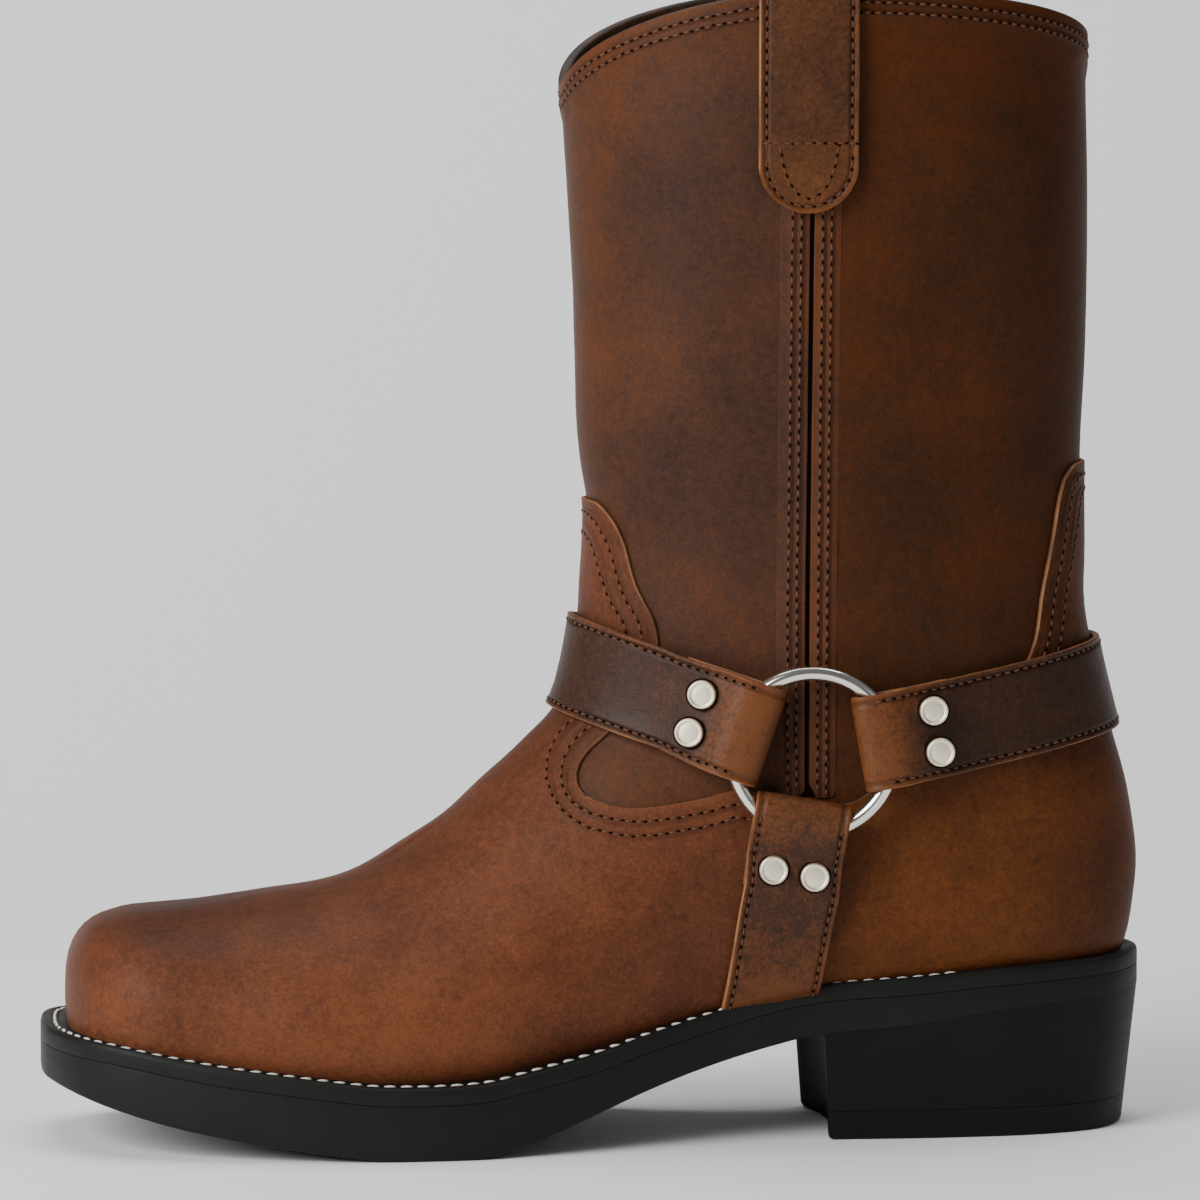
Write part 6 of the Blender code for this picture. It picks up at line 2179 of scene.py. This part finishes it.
        for k in range(len(profile) - 1):
            low, high = (k, k + 1) if profile[k][1] <= profile[k + 1][1] else (k + 1, k)
            cone = add_node(tree, "GeometryNodeMeshCone", {"fill_type": "NONE", "Vertices": 36}, {
                "Radius Bottom": radii[low], "Radius Top": radii[high],
                "Depth": calculate(tree, "SUBTRACT", heights[high], heights[low])})
            add_at(cone.outputs[0], heights[low])
        for k in (0, -1):
            lid = add_node(tree, "GeometryNodeMeshCircle", {"fill_type": "NGON", "Vertices": 36},
                           {"Radius": radii[k]})
            add_at(lid.outputs[0], heights[k])
        merged = add_node(tree, "GeometryNodeMergeByDistance", {"Distance": 0.01 * MM},
                          {"Geometry": join.outputs[0]})
        return merged.outputs[0]

    def build(self) -> None:
        """Make the whole harness."""
        self.build_wrap("strap_front", self.front_tilt, True, self.front_width)
        self.build_wrap("strap_back", self.back_tilt, False, self.back_width)
        for side in Side:
            self.build_ring(side)
            self.build_under(side)
        self.build_rivets()
        sewn = self.stitching.sew("strap_stitches", self.runs, self.finishes.thread,
                                  self.finishes.hole, FINE_STITCH)
        hand_over(sewn, "strap_leather")


@dataclass
class PullStraps:
    """Pull straps over the collar, each with a finger loop and a sewn end."""

    last: Last
    finishes: Finishes
    stitching: Stitching
    width: float = 27.0 * MM
    leather: float = 2.2 * MM
    drop: float = 60.0 * MM
    inside_drop: float = 30.0 * MM
    loop: float = 20.0 * MM
    bulge: float = 8.5 * MM
    wall: float = 2.4 * MM
    band_step: float = 0.9 * MM
    gap: float = 0.3 * MM
    flap: float = 1.0 * MM
    rows: int = 25
    edge_round: float = 0.4 * MM
    outside_rows: int = 30
    loop_rows: int = 22
    inside_rows: int = 14
    seam_offset: float = 1.5 * MM
    seam_row: float = 19.0 * MM

    def _line(self, side: Side, row: float) -> np.ndarray:
        """Middle line of the strap in one row: up the outside, over, and down inside."""
        middle = self.last.seam_x - self.seam_offset
        outside = self.gap + self.flap + self.gap + self.leather / 2
        inside = self.wall + self.gap + self.leather / 2
        half = self.width / 2
        share = min(abs(row) / half, 1.0)
        low = self.last.collar_z - self.drop + half * (1 - math.sqrt(1 - (share * 0.995) ** 2))
        rim = self.last.collar_z - self.band_step
        line = []
        for k in range(self.outside_rows):
            z = low + (rim - low) * k / (self.outside_rows - 1)
            y = self.last.side_spot(middle + row, z, side).y
            line.append((y + side.value * outside, z))
        first = line[-1][0]
        last_y = self.last.side_spot(middle + row, rim, side).y - side.value * inside
        for k in range(1, self.loop_rows):
            angle = math.pi * k / self.loop_rows
            reach = (abs(first - last_y) / 2 + self.bulge * math.sin(angle)) * math.cos(angle)
            line.append(((first + last_y) / 2 + side.value * reach,
                         rim + self.loop * math.sin(angle)))
        for k in range(self.inside_rows):
            z = rim - self.inside_drop * k / (self.inside_rows - 1)
            y = self.last.side_spot(middle + row, z, side).y
            line.append((y - side.value * inside, z))
        return np.array(line)

    def build(self, side: Side) -> None:
        """Make one pull strap with its stitches."""
        middle = self.last.seam_x - self.seam_offset
        half, thick = self.width / 2, self.leather / 2
        turn = np.linspace(-math.pi / 2, math.pi / 2, self.rows)
        top_rows = np.sin(turn) * (half - 0.3 * MM)
        section = [(row, thick) for row in top_rows]
        section += [(half, thick - self.edge_round), (half, -thick + self.edge_round)]
        section += [(row, -thick) for row in top_rows[::-1]]
        section += [(-half, -thick + self.edge_round), (-half, thick - self.edge_round)]
        lines = {row: self._line(side, row) for row, _ in section}
        stations = len(next(iter(lines.values())))
        loops = []
        for k in range(stations):
            loop = []
            for row, t in section:
                line = lines[row]
                run = line[min(k + 1, stations - 1)] - line[max(k - 1, 0)]
                run /= np.linalg.norm(run)
                normal = np.array((run[1], -run[0])) * side.value
                spot = line[k] + normal * t
                loop.append((middle + row, spot[0], spot[1]))
            loops.append(np.array(loop))
        piece = loops_object(f"pull_strap_{side.word}_leather", loops, False)
        count = len(section)
        for index, face in enumerate(piece.data.polygons):
            body = index < (stations - 1) * count
            edge = index % count in (self.rows - 1, self.rows, self.rows + 1,
                                     2 * self.rows + 1, 2 * self.rows + 2, 2 * self.rows + 3)
            face.material_index = 0 if body and not edge else 1
        sharpen(piece, 50)
        edges, rusts = [], []
        crown = self.outside_rows + self.loop_rows // 2 - 1
        for k in range(stations):
            for row, _ in section:
                above_end = lines[row][k][1] - (self.last.collar_z - self.drop)
                from_end = math.hypot(max(half - above_end, 0.0), row)
                near_end = half - from_end if k < self.outside_rows else half - abs(row)
                edges.append(max(min(near_end, half - abs(row)), 0.0) / MM)
                rusts.append(0.10 - 0.16 * ease(k, 8, 11) + 0.14 * ease(abs(row), half - 3 * MM, half)
                             - 0.10 * ease(-abs(k - crown), -12, 0))
        store(piece, "edge_mm", np.array(edges))
        store(piece, "rust", np.array(rusts))
        dress(piece, self.finishes.pull, self.finishes.edge)
        hand_over(piece, "strap_leather", f"pull_strap_{side.word}")
        self._sew(side, middle)

    def _sew(self, side: Side, middle: float) -> None:
        """Edge rows, the row across, and the shield-shaped row in the rounded end."""
        low = self.last.collar_z - self.drop
        half = self.width / 2
        outside = self.gap + self.flap + self.gap + self.leather
        inset = STRAP_ROWS[0] * MM

        def on_strap(x: float, z: float) -> tuple[float, float, float]:
            """Place on the strap's face over a point of the side view."""
            y = self.last.side_spot(middle + x, min(z, self.last.collar_z - self.band_step),
                                    side).y
            return (middle + x, y + side.value * (outside + 0.05 * MM), z)

        across = low + self.seam_row
        drawn = []
        for edge in (-half + inset, half - inset):
            drawn.append([(edge, across + (self.last.collar_z - across) * k / 30)
                          for k in range(31)])
        drawn.append([(-half + inset + (self.width - 2 * inset) * k / 14, across)
                      for k in range(15)])
        bowl = half - inset
        drawn.append([(-bowl * math.cos(math.pi * k / 24),
                       low + half - bowl * math.sin(math.pi * k / 24))
                      for k in range(25)])
        shield = [(-0.58, across - 1.8 * MM), (-0.50, low + 12 * MM), (-0.30, low + 6.5 * MM),
                  (0.0, low + 4.2 * MM), (0.30, low + 6.5 * MM), (0.50, low + 12 * MM),
                  (0.58, across - 1.8 * MM)]
        drawn.append([tuple(p) for p in spline_between(
            np.array([(x * half, z) for x, z in shield]), 5)])
        runs = []
        for points in drawn:
            places = np.array([on_strap(x, z) for x, z in points])
            runs.append(Run(places, np.tile((0.0, side.value, 0.0), (len(places), 1))))
        sewn = self.stitching.sew(f"pull_strap_{side.word}_stitches", runs, self.finishes.thread,
                                  self.finishes.hole, FINE_STITCH)
        hand_over(sewn, "strap_leather")


@dataclass
class Studio:
    """Pale floor and sweep, soft lights and the camera."""

    focal_mm: float = 194.0
    sensor_mm: float = 36.0
    distance: float = 1.812
    turn: float = math.radians(-6.0)
    elevation: float = math.radians(5.0)
    aim: tuple[float, float, float] = (0.002, 0.0, 0.1486)
    lights_aim: tuple[float, float, float] = (0.03, 0.0, 0.15)
    half_floor: float = 4.0

    def build(self) -> None:
        """Set up floor, lights and camera."""
        self._floor()
        self._light("key", (-1.6, -1.25, 1.15), (1.3, 1.3), 66.0)
        self._light("fill", (1.6, -1.2, 0.8), (1.2, 1.2), 1.5)
        self._light("top", (0.1, 0.3, 1.9), (1.6, 1.2), 24.0)
        world = bpy.data.worlds.new("studio")
        bpy.context.scene.world = world
        world.use_nodes = True
        glow = world.node_tree.nodes["Background"]
        glow.inputs["Color"].default_value = srgb("#eceef0")
        glow.inputs["Strength"].default_value = 0.18
        self._camera()

    def _floor(self) -> None:
        """Floor that sweeps up behind the boot."""
        near, far, bend = -3.0, 0.4, 1.2
        profile = [(near, 0.0), (far, 0.0)]
        profile += [(far + bend * math.sin(a), bend * (1 - math.cos(a)))
                    for a in np.linspace(0.0, math.radians(52), 16)[1:]]
        loops = [np.array([(x, y, z - 0.2 * MM) for y, z in profile]) for x in (-self.half_floor, self.half_floor)]
        count = len(profile)
        faces = [(k, k + count, k + count + 1, k + 1) for k in range(count - 1)]
        floor = mesh_object("studio_floor", np.concatenate(loops), faces)
        material, _, shader = new_finish("pale_paper_sweep")
        shader.inputs["Base Color"].default_value = srgb("#fafafa")
        shader.inputs["Roughness"].default_value = 0.75
        floor.data.materials.append(material)
        floor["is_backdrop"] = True

    def _light(self, name: str, place: tuple[float, float, float],
               size: tuple[float, float], watts: float) -> None:
        """Soft box pointed at the boot.

        Args:
            name: the lamp's name.
            place: where it hangs.
            size: its width and height.
            watts: its power.
        """
        lamp = bpy.data.lights.new(name, "AREA")
        lamp.shape = "RECTANGLE"
        lamp.size, lamp.size_y = size
        lamp.energy = watts
        light = new_object(name, lamp)
        light.location = place
        aim = Vector(self.lights_aim) - Vector(place)
        light.rotation_euler = aim.to_track_quat("-Z", "Y").to_euler()

    def _camera(self) -> None:
        """Camera at the photograph's viewing angle."""
        lens = bpy.data.cameras.new("camera")
        lens.lens = self.focal_mm
        lens.sensor_width = self.sensor_mm
        camera = new_object("camera", lens)
        flat = math.cos(self.elevation)
        away = Vector((math.sin(self.turn) * flat, -math.cos(self.turn) * flat,
                       math.sin(self.elevation)))
        camera.location = Vector(self.aim) + away * self.distance
        camera.rotation_euler = (-away).to_track_quat("-Z", "Y").to_euler()
        bpy.context.scene.camera = camera


def plain_box(bounds: object) -> object:
    """Bounds as plain lists of numbers."""
    if isinstance(bounds, dict):
        return {key: plain_box(value) for key, value in bounds.items()}
    if isinstance(bounds, (int, float)):
        return float(bounds)
    return [plain_box(value) for value in bounds]


def main() -> None:
    """Dress the boot and set the studio."""
    logging.basicConfig(level=logging.INFO)
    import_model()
    solids = plain_box(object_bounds())
    Studio().build()
    last = Last()
    finishes = Finishes()
    stitching = Stitching()
    Sole(last, finishes, stitching).build()
    upper = Upper(last, finishes, stitching)
    upper.build_wall()
    upper.build_overlays()
    upper.build_seam()
    upper.build_insole()
    Harness(last, finishes, stitching).build()
    pulls = PullStraps(last, finishes, stitching)
    for side in Side:
        pulls.build(side)
    {"solids": solids, "looks": plain_box(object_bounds())}


if __name__ == "__main__":
    main()
